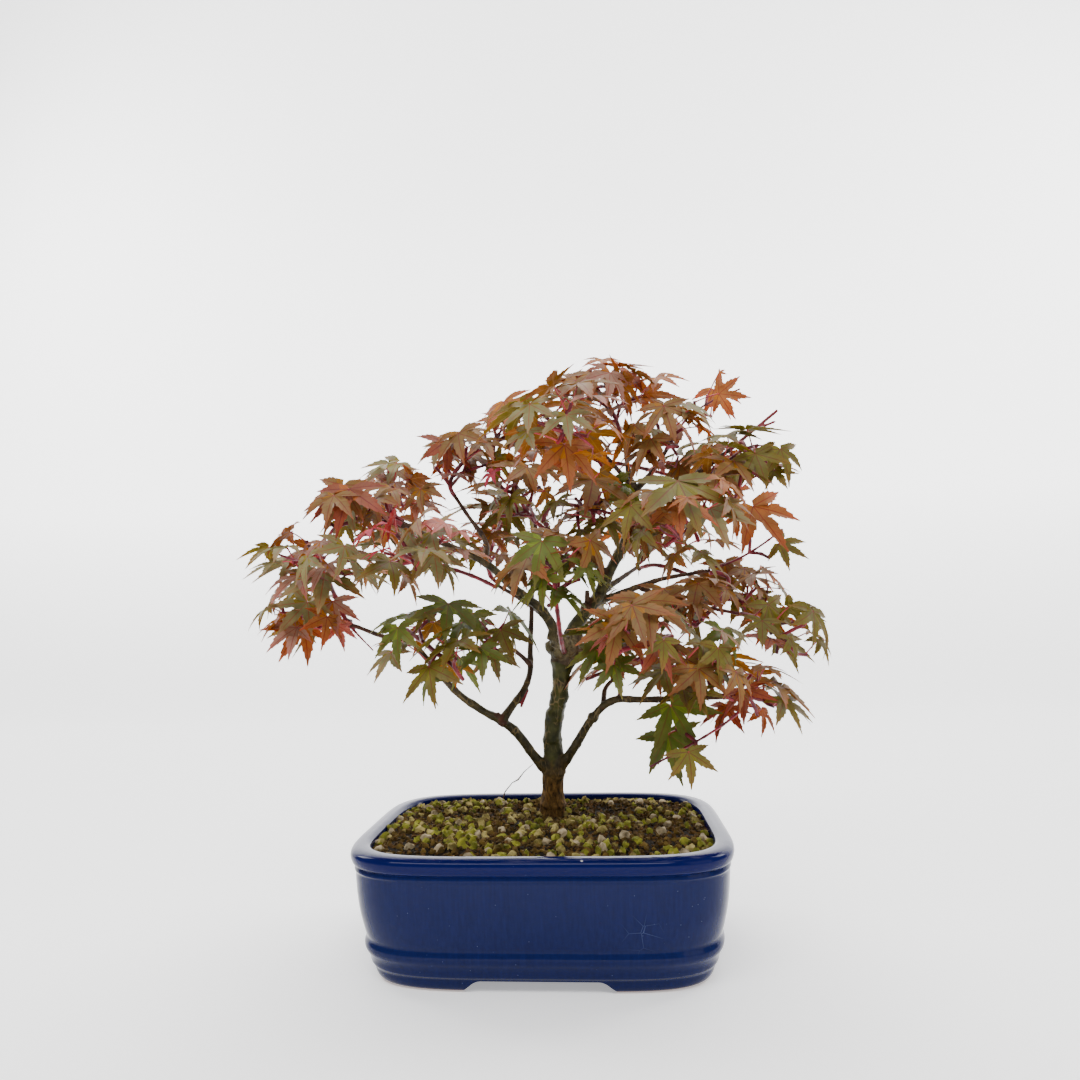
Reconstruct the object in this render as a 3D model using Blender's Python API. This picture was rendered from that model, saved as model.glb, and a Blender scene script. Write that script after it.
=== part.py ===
"""A young Japanese maple grown as a bonsai in a blue glazed rectangular pot, in metres, +Z up.

The pot stands on its four corner feet at z = 0, centred on the origin, with its long side along X
and its front facing -Y. Trunk and boughs are solid tapering limbs, each cut clear of the ones that
it grows from. Each leafy mass is one solid of twigs and leaves that grow from one stem by a seeded
rule and keep to a space of their own, so that no mass touches another mass or a limb.
"""

import math
import random

import bmesh
import bpy
import numpy as np
from mathutils import Matrix, Vector
from mathutils.bvhtree import BVHTree
from mathutils.geometry import delaunay_2d_cdt

MM = 0.001
GAP = 0.3 * MM  # clearance between one solid and the next
ROUND_GAP = 0.345 * MM  # the same at the corners of a six-sided limb, for a gap between its flats
MERGE = 0.001 * MM  # corners closer than this are one
FLAT = 0.05  # degrees between faces that are merged into one before they are cut in triangles
SHARP = 55  # degrees between faces past which their edge is shaded sharp

# ---------------------------------------------------------------- pot and soil
POT_LENGTH = 200 * MM
POT_DEPTH = 152 * MM
POT_SQUARENESS = 4.9  # exponent of the rounded rectangle that the pot is in plan
POT_CORNERS = 36  # points round the plan
FOOT_HEIGHT = 6 * MM
FEET_APART_FRONT = 62 * MM
FEET_APART_SIDE = 44 * MM
FEET_SPLAY = 7 * MM  # how much wider the space between two feet is at the ground
DRAIN_RADIUS = 6.5 * MM
DRAIN_X = 42 * MM
SOIL_TOP = 61.2 * MM
GROUND = SOIL_TOP + GAP  # the flat cut under the trunk

# Height and inset in mm of the pot's wall, measured in from the widest line of the lip: the feet's
# inner side, the outside from the ground to the lip, and the inside from the lip to the floor.
FEET_INSIDE = [(6, 28), (0, 26)]
POT_OUTSIDE = [
    (0, 14), (2, 11.5), (6.5, 10.8), (8, 9.4), (12, 8.2), (17, 6.8), (21, 6.9),
    (24, 6.4), (36, 3.6), (51, 2.4), (56, 2.4), (57.5, 1.0), (61, 0), (64, 1.2),
]
POT_INSIDE = [(65, 5.7), (64, 9.5), (56, 10.1), (21, 13.1), (13, 18.1)]
# The soil's skin from the floor up, a gap clear of the pot.
SOIL_OUTSIDE = [(13.3, 18.7), (21.3, 13.6), (56, 10.4), (60, 10.6)]
# Its top is a bed of low heaps, strewn over a grid of places, and level round the trunk's foot.
SOIL_RIM = 15  # inset in mm of the level edge of the bed
HEAPS_FROM = 20  # inset in mm of the outermost heaps
HEAPS_APART = (14 * MM, 12 * MM)
HEAP_STRAY = 2.5 * MM
HEAP_HEIGHT = (0.2 * MM, 2.8 * MM)  # above SOIL_TOP
LEVEL_ROUND_TRUNK = 25 * MM

# ---------------------------------------------------------------- trunk and boughs
# Each limb: the limb it grows from, radius in mm at its foot and at its tip, and the points in mm
# that its middle line runs through, from inside its parent to its tip.
LIMBS = {
    "trunk": (None, 5.6, 5.1, [
        (1, 30, 54), (3, 27, 76), (4, 25, 92), (4, 23, 113), (9, 21, 133), (11, 22, 152),
        (16, 24, 167)]),
    "leader": ("trunk", 4.6, 2.4, [
        (14, 23, 160), (20, 26, 175), (33, 28, 191), (42, 30, 208), (54, 32, 231), (59, 31, 252),
        (57, 30, 263)]),
    "left_low": ("trunk", 3.3, 1.6, [
        (4, 26, 84), (-6, 20, 96), (-19, 11, 115), (-37, 1, 128), (-51, -5, 140), (-74, -14, 169)]),
    "right_low": ("trunk", 3.2, 1.3, [
        (4, 26, 84), (16, 19, 101), (29, 11, 121), (41, 5, 131), (61, -4, 132), (102, -16, 134)]),
    "left_mid": ("trunk", 3.5, 1.4, [
        (12, 22, 158), (2, 10, 182), (-17, 0, 199), (-32, -7, 213), (-61, -18, 227), (-77, -23, 236)]),
    "mid_right": ("trunk", 1.9, 1.1, [(11, 22, 155), (28, 9, 161), (47, -6, 163), (67, -22, 166)]),
    "back_left": ("trunk", 2.6, 1.3, [(12, 23, 156), (2, 43, 178), (-16, 58, 192), (-34, 66, 203)]),
    "back_low": ("trunk", 1.9, 1.1, [(10, 21, 140), (19, 42, 153), (32, 62, 164)]),
    "far_left": ("left_low", 1.6, 1.1, [(-73, -14, 167), (-90, -12, 171), (-112, -7, 179)]),
    "upright_left": ("left_low", 2.2, 0.9, [
        (-24, 7, 121), (-10, 19, 142), (-9, 32, 166), (-7, 37, 210), (-6, 40, 246), (-28, 34, 283)]),
    "low_centre": ("upright_left", 1.4, 1.0, [(-9, 24, 152), (-16, 20, 159), (-24, 15, 165)]),
    "right_low_up": ("right_low", 1.6, 1.0, [(35, 8, 127), (38, 17, 139), (57, 30, 151)]),
    "left_front": ("left_mid", 1.6, 1.0, [(-43, -11, 219), (-48, -22, 219), (-53, -31, 215)]),
    "left_up": ("left_mid", 1.9, 1.1, [(-31, -7, 212), (-32, 1, 226), (-43, 9, 242), (-53, 14, 257)]),
    "right": ("leader", 2.3, 1.1, [(31, 28, 188), (45, 32, 193), (73, 36, 202), (105, 38, 207)]),
    "right_outer": ("right", 1.5, 1.0, [(61, 35, 197), (76, 24, 190), (96, 13, 184), (117, 4, 179)]),
    "inner": ("leader", 1.9, 1.0, [(41, 30, 206), (24, 23, 219), (3, 20, 236)]),
    "back_right": ("leader", 2.4, 1.2, [(34, 28, 193), (46, 46, 202), (62, 70, 213)]),
    "right_up": ("leader", 2.9, 1.2, [(58, 32, 243), (76, 21, 254), (95, 9, 263), (115, -1, 276)]),
    "right_front": ("right_up", 1.4, 1.0, [(89, 12, 259), (91, 0, 252), (91, -14, 243)]),
    "back_top": ("leader", 2.0, 1.1, [(58, 32, 249), (50, 50, 266), (42, 68, 280)]),
    "top_left": ("leader", 2.0, 1.0, [(58, 31, 260), (48, 18, 270), (38, 2, 279)]),
    "top_mid": ("leader", 2.0, 1.1, [(57, 30, 262), (55, 37, 278), (54, 40, 292)]),
    "top_right": ("leader", 2.2, 1.1, [(58, 31, 257), (72, 35, 272), (89, 39, 298)]),
}
LIMB_ROUNDNESS = {"trunk": 4, "leader": 2}  # bevel resolution of the thick limbs, the others have 1
LIMB_STEP = 16 * MM  # length of a limb's straight pieces; the trunk's are half as long
LIMB_TAPER = 0.8  # exponent: a limb loses its thickness sooner near its foot
# Height in mm, extra radius in mm and half length in mm of the swellings on the trunk:
# root flare, crotch of the two low boughs, old pruning callus at the fork.
TRUNK_SWELLS = [(61, 2.2, 14), (89, 1.6, 9), (160, 3.6, 9)]

# ---------------------------------------------------------------- leafy masses
# Each mass: the limb at whose tip its stem starts, the middle and half sizes of its space in mm,
# how many leaves it may have, and the seed of its growth.
MASSES = {
    "far_left_low": ("far_left", (-130, -12, 181), (38, 37, 27), 8, 1),
    "far_left_up": ("far_left", (-116, -38, 208), (43, 35, 28), 9, 1),
    "left_low": ("left_low", (-52, -40, 160), (36, 33, 31), 8, 1),
    "low_centre": ("low_centre", (-26, 2, 165), (28, 30, 25), 6, 1),
    "left_shoulder": ("left_mid", (-95, -33, 234), (36, 34, 26), 8, 1),
    "left_peak": ("left_mid", (-82, 6, 254), (33, 36, 24), 7, 1),
    "left_inner": ("left_front", (-60, -62, 213), (38, 33, 25), 8, 1),
    "arch": ("left_up", (-43, 12, 275), (36, 38, 26), 8, 1),
    "arch_top": ("upright_left", (-10, 24, 293), (35, 38, 29), 8, 1),
    "centre_up": ("inner", (-8, -2, 250), (34, 34, 26), 7, 1),
    "centre_mid": ("inner", (26, -10, 238), (36, 34, 30), 7, 1),
    "crest": ("top_mid", (42, 14, 309), (48, 40, 28), 11, 1),
    "top_front": ("top_left", (22, -67, 272), (40, 36, 30), 8, 1),
    "top_right": ("top_mid", (76, 0, 280), (34, 34, 28), 8, 1),
    "sprig": ("top_right", (118, 36, 316), (30, 25, 20), 3, 1),
    "right_up": ("back_top", (98, 48, 264), (37, 36, 29), 7, 1),
    "right_up_outer": ("right_up", (115, -12, 258), (34, 34, 28), 8, 1),
    "right_centre": ("right_front", (78, -62, 222), (38, 33, 30), 8, 1),
    "right_wisp": ("right", (136, 26, 224), (31, 29, 24), 3, 1),
    "right_mid": ("right", (96, 20, 182), (38, 38, 24), 9, 1),
    "right_mid_outer": ("right_outer", (134, -4, 165), (36, 33, 26), 8, 1),
    "right_low_in": ("mid_right", (50, -64, 164), (34, 31, 30), 8, 1),
    "right_low": ("mid_right", (84, -38, 148), (35, 34, 30), 8, 1),
    "right_low_outer": ("right_low", (117, -14, 132), (34, 31, 27), 7, 1),
    "low_star": ("right_low", (70, -28, 108), (32, 30, 32), 3, 1),
    "trunk_right": ("right_low_up", (36, 30, 145), (27, 27, 22), 5, 1),
    "centre_front": ("trunk", (12, -54, 197), (34, 32, 32), 8, 1),
    "back_low": ("back_low", (42, 66, 172), (37, 32, 27), 6, 1),
    "back_left": ("back_left", (-30, 62, 232), (42, 38, 33), 7, 1),
    "back_left_far": ("back_left", (-90, 50, 220), (40, 36, 29), 7, 1),
    "back_right": ("back_right", (74, 66, 230), (42, 36, 35), 7, 1),
    "back_right_far": ("back_right", (120, 54, 188), (38, 36, 29), 7, 1),
    "back_top": ("back_top", (30, 62, 292), (46, 38, 32), 7, 1),
}

# ---------------------------------------------------------------- twigs and leaves
UP = Vector((0, 0, 1))
FRONT = Vector((0, -1, 0))
CROWN_AXIS = Vector((10 * MM, 25 * MM, 0))  # the leaves turn outwards from this upright line
SPACE_MARGIN = 0.02  # between two masses' spaces, as a part of their half sizes
TOUCH_MARGIN = 0.7 * MM  # between a leaf and a limb

STEM_RADIUS = (1.4 * MM, 1.1 * MM)  # at the foot and at the tip
STEM_PIECES = 4  # straight pieces in the arc of a stem
STEM_STRAIGHT = 2.5 * MM  # its first piece, square to its bough's end
STEM_LEAD = 0.35  # how far it bends on in its bough's direction, as a part of its length
STEM_REACH = 0.45  # how far it runs past the middle of its space, as a part of the room there
STEM_APART = 1.25  # of two stems on one tip: how far each starts aside, in stem radii
STEM_NODES = 4  # places with a pair of twigs
STEM_TRIES = 60
STEM_WANDER = 0.015  # sideways step at each new try, as a part of its length

TWIG_RADIUS = (1.1 * MM, 0.9 * MM)
TWIG_REACH = (0.45, 0.75)  # length as a part of the room in its direction
TWIG_HEADING = (0.85, 0.5, 0.1)  # parts of the way out of the stem, along it and up
TWIG_LIFT = 0.08  # how much its tip is raised, as a part of its length
TWIG_NODE = 0.55  # place of its second pair of leaves, as a part of its length
SHORTEST_TWIG = 7 * MM
ROOTED = 1 * MM  # how far inside the end of a twig its last stalks start

PETIOLE_RADIUS = 0.42 * MM
PETIOLE_LENGTH = (10 * MM, 19 * MM)
PETIOLE_LIFT = 0.12
STALK_LEAN = 0.35  # a stalk comes to its leaf from below, with at least this part of it upright
STALK_CORNERS = (60, 180, -60)  # degrees from the stalk's front
LEAF_SIZE = (21 * MM, 31 * MM)  # middle lobe, from the top of the leaf stalk to the tip
LEAF_THICKNESS = 0.7 * MM
LEAF_SPACING = 11 * MM  # least distance between the middles of two leaves
LEAF_DROOP = (12, 68)  # degrees below level
LEAF_ROLL = 24  # degrees either way
LEAF_STRAY = 0.35
# Parts of the way out of the crown, along the stalk, to the front and astray in a leaf's bearing.
LEAF_BEARING = (0.5, 0.6, 0.35, 0.6)
LEAF_TRIES = 24  # a leaf that doesn't fit is turned this many times before it is left out
LEAF_SHRINK = 0.02  # how much smaller it is at each new try
# Angle in degrees from the middle line, radius and sag of the lobe tips and of the notches
# between them, as parts of the leaf's size, on one side of the leaf.
LOBE_TIPS = [(0, 1.0, 0.20), (43, 0.92, 0.22), (92, 0.64, 0.20)]
LOBE_NOTCHES = [(22, 0.40, 0.04), (67, 0.35, 0.05)]
LEAF_REAR = (180, 0.12, 0.02)


# ================================================================ scene, materials, helpers

for old in list(bpy.data.objects):
    bpy.data.objects.remove(old, do_unlink=True)

model = bpy.data.collections.new("bonsai_maple")
cutters = bpy.data.collections.new("cutters")
bpy.context.scene.collection.children.link(model)
bpy.context.scene.collection.children.link(cutters)


def make_material(name, colour, roughness, metallic=0.0):
    material = bpy.data.materials.new(name)
    material.use_nodes = True
    shader = material.node_tree.nodes["Principled BSDF"]
    shader.inputs["Base Color"].default_value = (*colour, 1.0)
    shader.inputs["Roughness"].default_value = roughness
    shader.inputs["Metallic"].default_value = metallic
    return material


def add_object(name, data, collection=model):
    thing = bpy.data.objects.new(name, data)
    collection.objects.link(thing)
    return thing


def add_cutter(name, data):
    cutter = add_object(name, data, cutters)
    cutter.hide_render = True
    cutter.display_type = "WIRE"
    return cutter


def boolean(thing, operation, other=None, collection=None, solver="EXACT"):
    modifier = thing.modifiers.new(operation.lower(), "BOOLEAN")
    modifier.operation = operation
    modifier.solver = solver
    if collection:
        modifier.operand_type = "COLLECTION"
        modifier.collection = collection
    else:
        modifier.object = other
    return modifier


def mesh_of(thing):
    """The evaluated mesh of an object, with a curve's loose caps welded."""
    bpy.context.view_layer.update()
    graph = bpy.context.evaluated_depsgraph_get()
    mesh = bpy.data.meshes.new_from_object(thing.evaluated_get(graph))
    work = bmesh.new()
    work.from_mesh(mesh)
    bmesh.ops.remove_doubles(work, verts=work.verts, dist=MERGE)
    bmesh.ops.recalc_face_normals(work, faces=work.faces)
    work.to_mesh(mesh)
    work.free()
    return mesh


def one_closed_solid(mesh):
    """Keep the largest shell of a cut or fused mesh: a sealed hollow is filled, a loose scrap dropped."""
    work = bmesh.new()
    work.from_mesh(mesh)
    bmesh.ops.remove_doubles(work, verts=work.verts, dist=MERGE)
    bmesh.ops.dissolve_limit(
        work, angle_limit=math.radians(FLAT), verts=work.verts, edges=work.edges, delimit=set())
    bmesh.ops.triangulate(work, faces=work.faces)
    left = set(work.faces)
    shells = []
    while left:
        shell = set()
        front = [left.pop()]
        while front:
            face = front.pop()
            shell.add(face)
            for edge in face.edges:
                for other in edge.link_faces:
                    if other in left:
                        left.discard(other)
                        front.append(other)
        shells.append(shell)
    shells.sort(key=len, reverse=True)
    scrap = [face for shell in shells[1:] for face in shell]
    bmesh.ops.delete(work, geom=scrap, context="FACES")
    closed = all(edge.is_manifold for edge in work.edges)
    work.to_mesh(mesh)
    work.free()
    return closed


def smooth(mesh):
    mesh.shade_smooth()
    mesh.set_sharp_from_angle(angle=math.radians(SHARP))


def tube(name, path, radii, resolution, collection, profile=None):
    """A solid tapering tube along a path. Its section is a polygon, or the closed curve profile."""
    curve = bpy.data.curves.new(name, "CURVE")
    curve.dimensions = "3D"
    curve.use_fill_caps = True
    if profile:
        curve.bevel_mode = "OBJECT"
        curve.bevel_object = profile
    else:
        curve.bevel_depth = 1.0
        curve.bevel_resolution = resolution
    spline = curve.splines.new("POLY")
    spline.points.add(len(path) - 1)
    for point, place, radius in zip(spline.points, path, radii):
        point.co = (*place, 1.0)
        point.radius = radius
    source = add_object(name + "_line", curve, cutters)
    mesh = mesh_of(source)
    mesh.name = name
    bpy.data.objects.remove(source, do_unlink=True)
    return add_object(name, mesh, collection)


def lofted_solid(name, rings):
    """A closed mesh skinned over a row of rings of equally many points, flat at both ends."""
    work = bmesh.new()
    made = [[work.verts.new(point) for point in ring] for ring in rings]
    for low, high in zip(made, made[1:]):
        for k in range(len(low)):
            j = (k + 1) % len(low)
            work.faces.new((low[k], low[j], high[j], high[k]))
    work.faces.new(reversed(made[0]))
    work.faces.new(made[-1])
    bmesh.ops.recalc_face_normals(work, faces=work.faces)
    mesh = bpy.data.meshes.new(name)
    work.to_mesh(mesh)
    work.free()
    return mesh


# ================================================================ pot and soil


def pot_ring(height, inset):
    """The pot's rounded rectangle at a height in mm, inset in mm from the lip's widest line."""
    half_x = POT_LENGTH / 2 - inset * MM
    half_y = POT_DEPTH / 2 - inset * MM
    power = 2 / POT_SQUARENESS
    ring = []
    for k in range(POT_CORNERS):
        angle = math.tau * (k + 0.5) / POT_CORNERS
        x = math.copysign(abs(math.cos(angle)) ** power, math.cos(angle))
        y = math.copysign(abs(math.sin(angle)) ** power, math.sin(angle))
        ring.append((half_x * x, half_y * y, height * MM))
    return ring


def make_pot():
    """The pot: an open box with a rolled lip, four corner feet and two drain holes in its floor."""
    rings = [pot_ring(height, inset) for height, inset in FEET_INSIDE + POT_OUTSIDE + POT_INSIDE]
    mesh = lofted_solid("pot", rings)
    smooth(mesh)
    mesh.materials.append(make_material("cobalt_glaze", (0.016, 0.030, 0.150), 0.16))
    pot = add_object("pot", mesh)

    front_gap = wedge("gap_front", FEET_APART_FRONT, POT_DEPTH * 1.1)
    side_gap = wedge("gap_side", FEET_APART_SIDE, POT_LENGTH * 1.1)
    side_gap.rotation_euler.z = math.pi / 2
    boolean(pot, "DIFFERENCE", front_gap)
    boolean(pot, "DIFFERENCE", side_gap)
    for side in (-1, 1):
        work = bmesh.new()
        bmesh.ops.create_cone(
            work, cap_ends=True, segments=16, radius1=DRAIN_RADIUS, radius2=DRAIN_RADIUS,
            depth=FOOT_HEIGHT * 4)
        mesh = bpy.data.meshes.new("drain")
        work.to_mesh(mesh)
        work.free()
        drain = add_cutter(f"drain_{side}", mesh)
        drain.location = (side * DRAIN_X, 0, FOOT_HEIGHT * 1.5)
        boolean(pot, "DIFFERENCE", drain)


def wedge(name, width, length):
    """A cutter for the space between two feet: wider at the ground than at the pot's underside."""
    below = 4 * MM
    work = bmesh.new()
    bmesh.ops.create_cube(work, size=1.0)
    for corner in work.verts:
        top = corner.co.z > 0
        half = width / 2 if top else width / 2 + FEET_SPLAY * (1 + below / FOOT_HEIGHT)
        corner.co.x = math.copysign(half, corner.co.x)
        corner.co.y *= length
        corner.co.z = FOOT_HEIGHT - 0.2 * MM if top else -below
    mesh = bpy.data.meshes.new(name)
    work.to_mesh(mesh)
    work.free()
    return add_cutter(name, mesh)


def soil_heaps():
    """The middles of the heaps on the soil, as places with a seeded stray and height."""
    dice = random.Random("soil")
    foot = Vector(LIMBS["trunk"][3][0]) * MM
    step_x, step_y = HEAPS_APART
    half_x = POT_LENGTH / 2 - HEAPS_FROM * MM
    half_y = POT_DEPTH / 2 - HEAPS_FROM * MM
    places = []
    for row in range(-int(half_y / step_y), int(half_y / step_y) + 1):
        for column in range(-int(half_x / step_x) - 1, int(half_x / step_x) + 2):
            x = (column + 0.5 * (row % 2)) * step_x + dice.uniform(-HEAP_STRAY, HEAP_STRAY)
            y = row * step_y + dice.uniform(-HEAP_STRAY, HEAP_STRAY)
            rise = dice.uniform(*HEAP_HEIGHT)
            if abs(x / half_x) ** POT_SQUARENESS + abs(y / half_y) ** POT_SQUARENESS > 1:
                continue
            if math.hypot(x - foot.x, y - foot.y) < LEVEL_ROUND_TRUNK:
                rise = 0
            places.append((x, y, SOIL_TOP + rise))
    return places


def make_soil():
    """The soil fills the pot to just below the lip, heaped a little and level round the trunk."""
    rim = pot_ring(SOIL_TOP / MM, SOIL_RIM)
    mesh = lofted_solid("soil", [pot_ring(height, inset) for height, inset in SOIL_OUTSIDE] + [rim])
    work = bmesh.new()
    work.from_mesh(mesh)
    work.faces.ensure_lookup_table()
    top = max(work.faces, key=lambda face: face.calc_center_median().z)
    edge = list(top.verts)
    bmesh.ops.delete(work, geom=[top], context="FACES_ONLY")
    corners = [tuple(corner.co) for corner in edge] + soil_heaps()
    flat = [Vector((x, y)) for x, y, _ in corners]
    laid = delaunay_2d_cdt(flat, [], [list(range(len(edge)))], 1, 0.01 * MM)
    made = edge + [work.verts.new(corner) for corner in corners[len(edge):]]
    source = [origins[0] for origins in laid[3]]
    for face in laid[2]:
        work.faces.new([made[source[k]] for k in face])
    bmesh.ops.recalc_face_normals(work, faces=work.faces)
    work.to_mesh(mesh)
    work.free()
    mesh.materials.append(make_material("baked_clay_soil", (0.10, 0.065, 0.028), 0.95))
    add_object("soil", mesh)


# ================================================================ trunk and boughs


def through(points, step):
    """Places about a step apart on a smooth line through the given points in mm, in metres."""
    knots = [Vector(point) * MM for point in points]
    knots = [2 * knots[0] - knots[1]] + knots + [2 * knots[-1] - knots[-2]]
    fine = [knots[1]]
    for a, b, c, d in zip(knots, knots[1:], knots[2:], knots[3:]):
        for k in range(1, 13):
            t = k / 12
            bent = (2 * a - 5 * b + 4 * c - d) * t ** 2 + (3 * b - a - 3 * c + d) * t ** 3
            fine.append(0.5 * (2 * b + (c - a) * t + bent))
    lengths = [0.0]
    for a, b in zip(fine, fine[1:]):
        lengths.append(lengths[-1] + (b - a).length)
    count = max(2, round(lengths[-1] / step))
    places = []
    for k in range(count + 1):
        want = lengths[-1] * k / count
        i = min(max(1, int(np.searchsorted(lengths, want))), len(fine) - 1)
        part = (want - lengths[i - 1]) / (lengths[i] - lengths[i - 1])
        places.append(fine[i - 1].lerp(fine[i], part))
    return places


def limb_radii(name, path):
    _, foot, tip, _ = LIMBS[name]
    radii = []
    for k, place in enumerate(path):
        radius = foot + (tip - foot) * (k / (len(path) - 1)) ** LIMB_TAPER
        if name == "trunk":
            for height, extra, half_length in TRUNK_SWELLS:
                radius += extra * math.exp(-((place.z / MM - height) / half_length) ** 2)
        radii.append(radius * MM)
    return radii


PATHS = {
    name: through(points, LIMB_STEP / 2 if name == "trunk" else LIMB_STEP)
    for name, (_, _, _, points) in LIMBS.items()
}
RADII = {name: limb_radii(name, path) for name, path in PATHS.items()}


def segments_of(paths):
    """Starts, ends and radii of the straight pieces of some (path, radii) pairs, as arrays."""
    starts = [place for path, _ in paths for place in path[:-1]]
    ends = [place for path, _ in paths for place in path[1:]]
    thick = [max(pair) for _, radii in paths for pair in zip(radii, radii[1:])]
    return np.array(starts), np.array(ends), np.array(thick)


def clearance(points, segments):
    """The least distance from the points to the surface of the round pieces."""
    starts, ends, thick = segments
    line = ends - starts
    span = (line ** 2).sum(1)
    offset = points[:, None, :] - starts[None, :, :]
    part = np.clip((offset * line).sum(2) / span, 0, 1)
    nearest = starts + part[:, :, None] * line
    return float((np.linalg.norm(points[:, None, :] - nearest, axis=2) - thick).min())


def cut_level(mesh, height):
    """Cut a closed mesh off flat at a height and close the cut."""
    work = bmesh.new()
    work.from_mesh(mesh)
    cut = bmesh.ops.bisect_plane(
        work, geom=work.verts[:] + work.edges[:] + work.faces[:], plane_co=(0, 0, height),
        plane_no=(0, 0, 1), clear_inner=True)
    rim = [part for part in cut["geom_cut"] if isinstance(part, bmesh.types.BMEdge)]
    bmesh.ops.contextual_create(work, geom=rim)
    bmesh.ops.recalc_face_normals(work, faces=work.faces)
    work.to_mesh(mesh)
    work.free()


def make_limbs():
    """Trunk and boughs. Each is cut by the limbs before it, so that it starts on its parent's skin."""
    thick_bark = make_material("green_maple_bark", (0.115, 0.110, 0.045), 0.7)
    thin_bark = make_material("brown_maple_bark", (0.105, 0.072, 0.042), 0.75)
    made = []
    for name in LIMBS:
        path = PATHS[name]
        radii = RADII[name]
        label = "trunk" if name == "trunk" else "bough_" + name
        limb = tube(label, path, radii, LIMB_ROUNDNESS.get(name, 1), model)
        if name == "trunk":
            cut_level(limb.data, GROUND)
        limb.data.materials.append(thick_bark if name in LIMB_ROUNDNESS else thin_bark)
        near_foot = np.array(path[:max(2, len(path) // 3)])
        for other in made:
            reach = clearance(near_foot, segments_of([(PATHS[other], RADII[other])]))
            if reach < max(radii) + GAP:
                boolean(limb, "DIFFERENCE", limb_room(other))
        made.append(name)
        cut = mesh_of(limb)
        one_closed_solid(cut)
        limb.modifiers.clear()
        limb.data = cut
        smooth(cut)


def limb_room(name):
    """A cutter: the limb's own shape a gap larger all round, which leaves room for it in others."""
    cutter = bpy.data.objects.get(name + "_room")
    if cutter:
        return cutter
    path = list(PATHS[name])
    path[-1] = path[-1] + (path[-1] - path[-2]).normalized() * GAP
    radii = [radius + ROUND_GAP for radius in RADII[name]]
    cutter = tube(name + "_room", path, radii, LIMB_ROUNDNESS.get(name, 1), cutters)
    cutter.hide_render = True
    cutter.display_type = "WIRE"
    return cutter


# ================================================================ leafy masses

NAMES = list(MASSES)
CENTRES = np.array([MASSES[name][1] for name in NAMES]) * MM
HALVES = np.array([MASSES[name][2] for name in NAMES]) * MM


def in_own_space(index, points):
    """Whether all the points lie in the mass's ellipsoid and nearer to its middle than to others'."""
    far = np.linalg.norm((points[:, None, :] - CENTRES) / HALVES, axis=2)
    own = far[:, index].copy()
    far[:, index] = 9.0
    return bool((own < 1).all() and (far.min(axis=1) - own > SPACE_MARGIN).all())


def room(index, place, direction):
    """The way from a place in a mass's ellipsoid along a direction to its surface."""
    a = (np.array(place) - CENTRES[index]) / HALVES[index]
    b = np.array(direction) / HALVES[index]
    bb = float(b @ b)
    ab = float(a @ b)
    root = ab * ab - bb * (float(a @ a) - 1)
    return 0.0 if root <= 0 else (-ab + math.sqrt(root)) / bb


def bend(start, middle, end, count):
    """Places on the arc that leaves start towards middle and comes to end."""
    places = []
    for k in range(count + 1):
        t = k / count
        places.append(start * (1 - t) ** 2 + middle * (2 * t * (1 - t)) + end * t * t)
    return places


def sideways(direction, angle):
    """A unit vector at right angles to a direction, turned by an angle round it."""
    side = direction.cross(UP)
    if side.length < 0.1:
        side = direction.cross(FRONT)
    side.normalize()
    return side * math.cos(angle) + direction.cross(side) * math.sin(angle)


def even_radii(count, pair):
    return [pair[0] + (pair[1] - pair[0]) * k / (count - 1) for k in range(count)]


def stem_start(name):
    """Where a mass's stem starts, a gap clear of its limb, and the direction it first runs in."""
    limb, centre, _, _, _ = MASSES[name]
    path = PATHS[limb]
    if limb == "trunk":
        callus_height = TRUNK_SWELLS[-1][0] * MM
        foot = min(path, key=lambda place: abs(place.z - callus_height))
        outward = Vector(centre) * MM - foot
        outward = Vector((outward.x, outward.y, 0)).normalized()
        radius = RADII[limb][path.index(foot)]
        return foot + outward * (radius + GAP), outward
    heading = (path[-1] - path[-2]).normalized()
    start = path[-1] + heading * GAP
    sharing = [other for other in NAMES if MASSES[other][0] == limb]
    if len(sharing) > 1:
        aims = [(Vector(MASSES[other][1]) * MM - path[-1]).normalized() for other in sharing]
        apart = aims[0] - aims[1]
        apart -= heading * apart.dot(heading)
        side = 1 if sharing[0] == name else -1
        start += apart.normalized() * (side * STEM_APART * STEM_RADIUS[0])
    return start, heading


def grow_stem(name, others):
    """The arc of a mass's stem, from its limb into its space, clear of all limbs and other stems."""
    _, centre, _, _, seed = MASSES[name]
    dice = random.Random(f"{name} stem {seed}")
    centre = Vector(centre) * MM
    foot, heading = stem_start(name)
    start = foot + heading * STEM_STRAIGHT
    aim = (centre - start).normalized()
    end = centre + aim * (STEM_REACH * room(NAMES.index(name), centre, aim))
    length = (end - start).length
    limbs = segments_of([(PATHS[limb], RADII[limb]) for limb in PATHS])
    for attempt in range(STEM_TRIES):
        wander = Vector([dice.uniform(-1, 1) for _ in range(3)]) * (STEM_WANDER * attempt * length)
        middle = start + heading * (STEM_LEAD * length) + wander
        body = np.array(bend(start, middle, end, 24)[2:])
        clear = clearance(body, limbs) > STEM_RADIUS[0] + GAP
        apart = all(clearance(body, other) > STEM_RADIUS[0] * 2 + GAP for other in others)
        if clear and apart:
            return [foot] + bend(start, middle, end, STEM_PIECES)
    raise RuntimeError(f"the stem of {name} has no clear way")


def leaf_outline():
    """Angle, radius and sag of the points round a leaf, as parts of its size."""
    right = []
    for tip, notch in zip(LOBE_TIPS, LOBE_NOTCHES + [None]):
        right.append(tip)
        if notch:
            right.append(notch)
    left = [(-angle, radius, sag) for angle, radius, sag in reversed(right[1:])]
    return right + [LEAF_REAR] + left


OUTLINE = leaf_outline()


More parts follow.
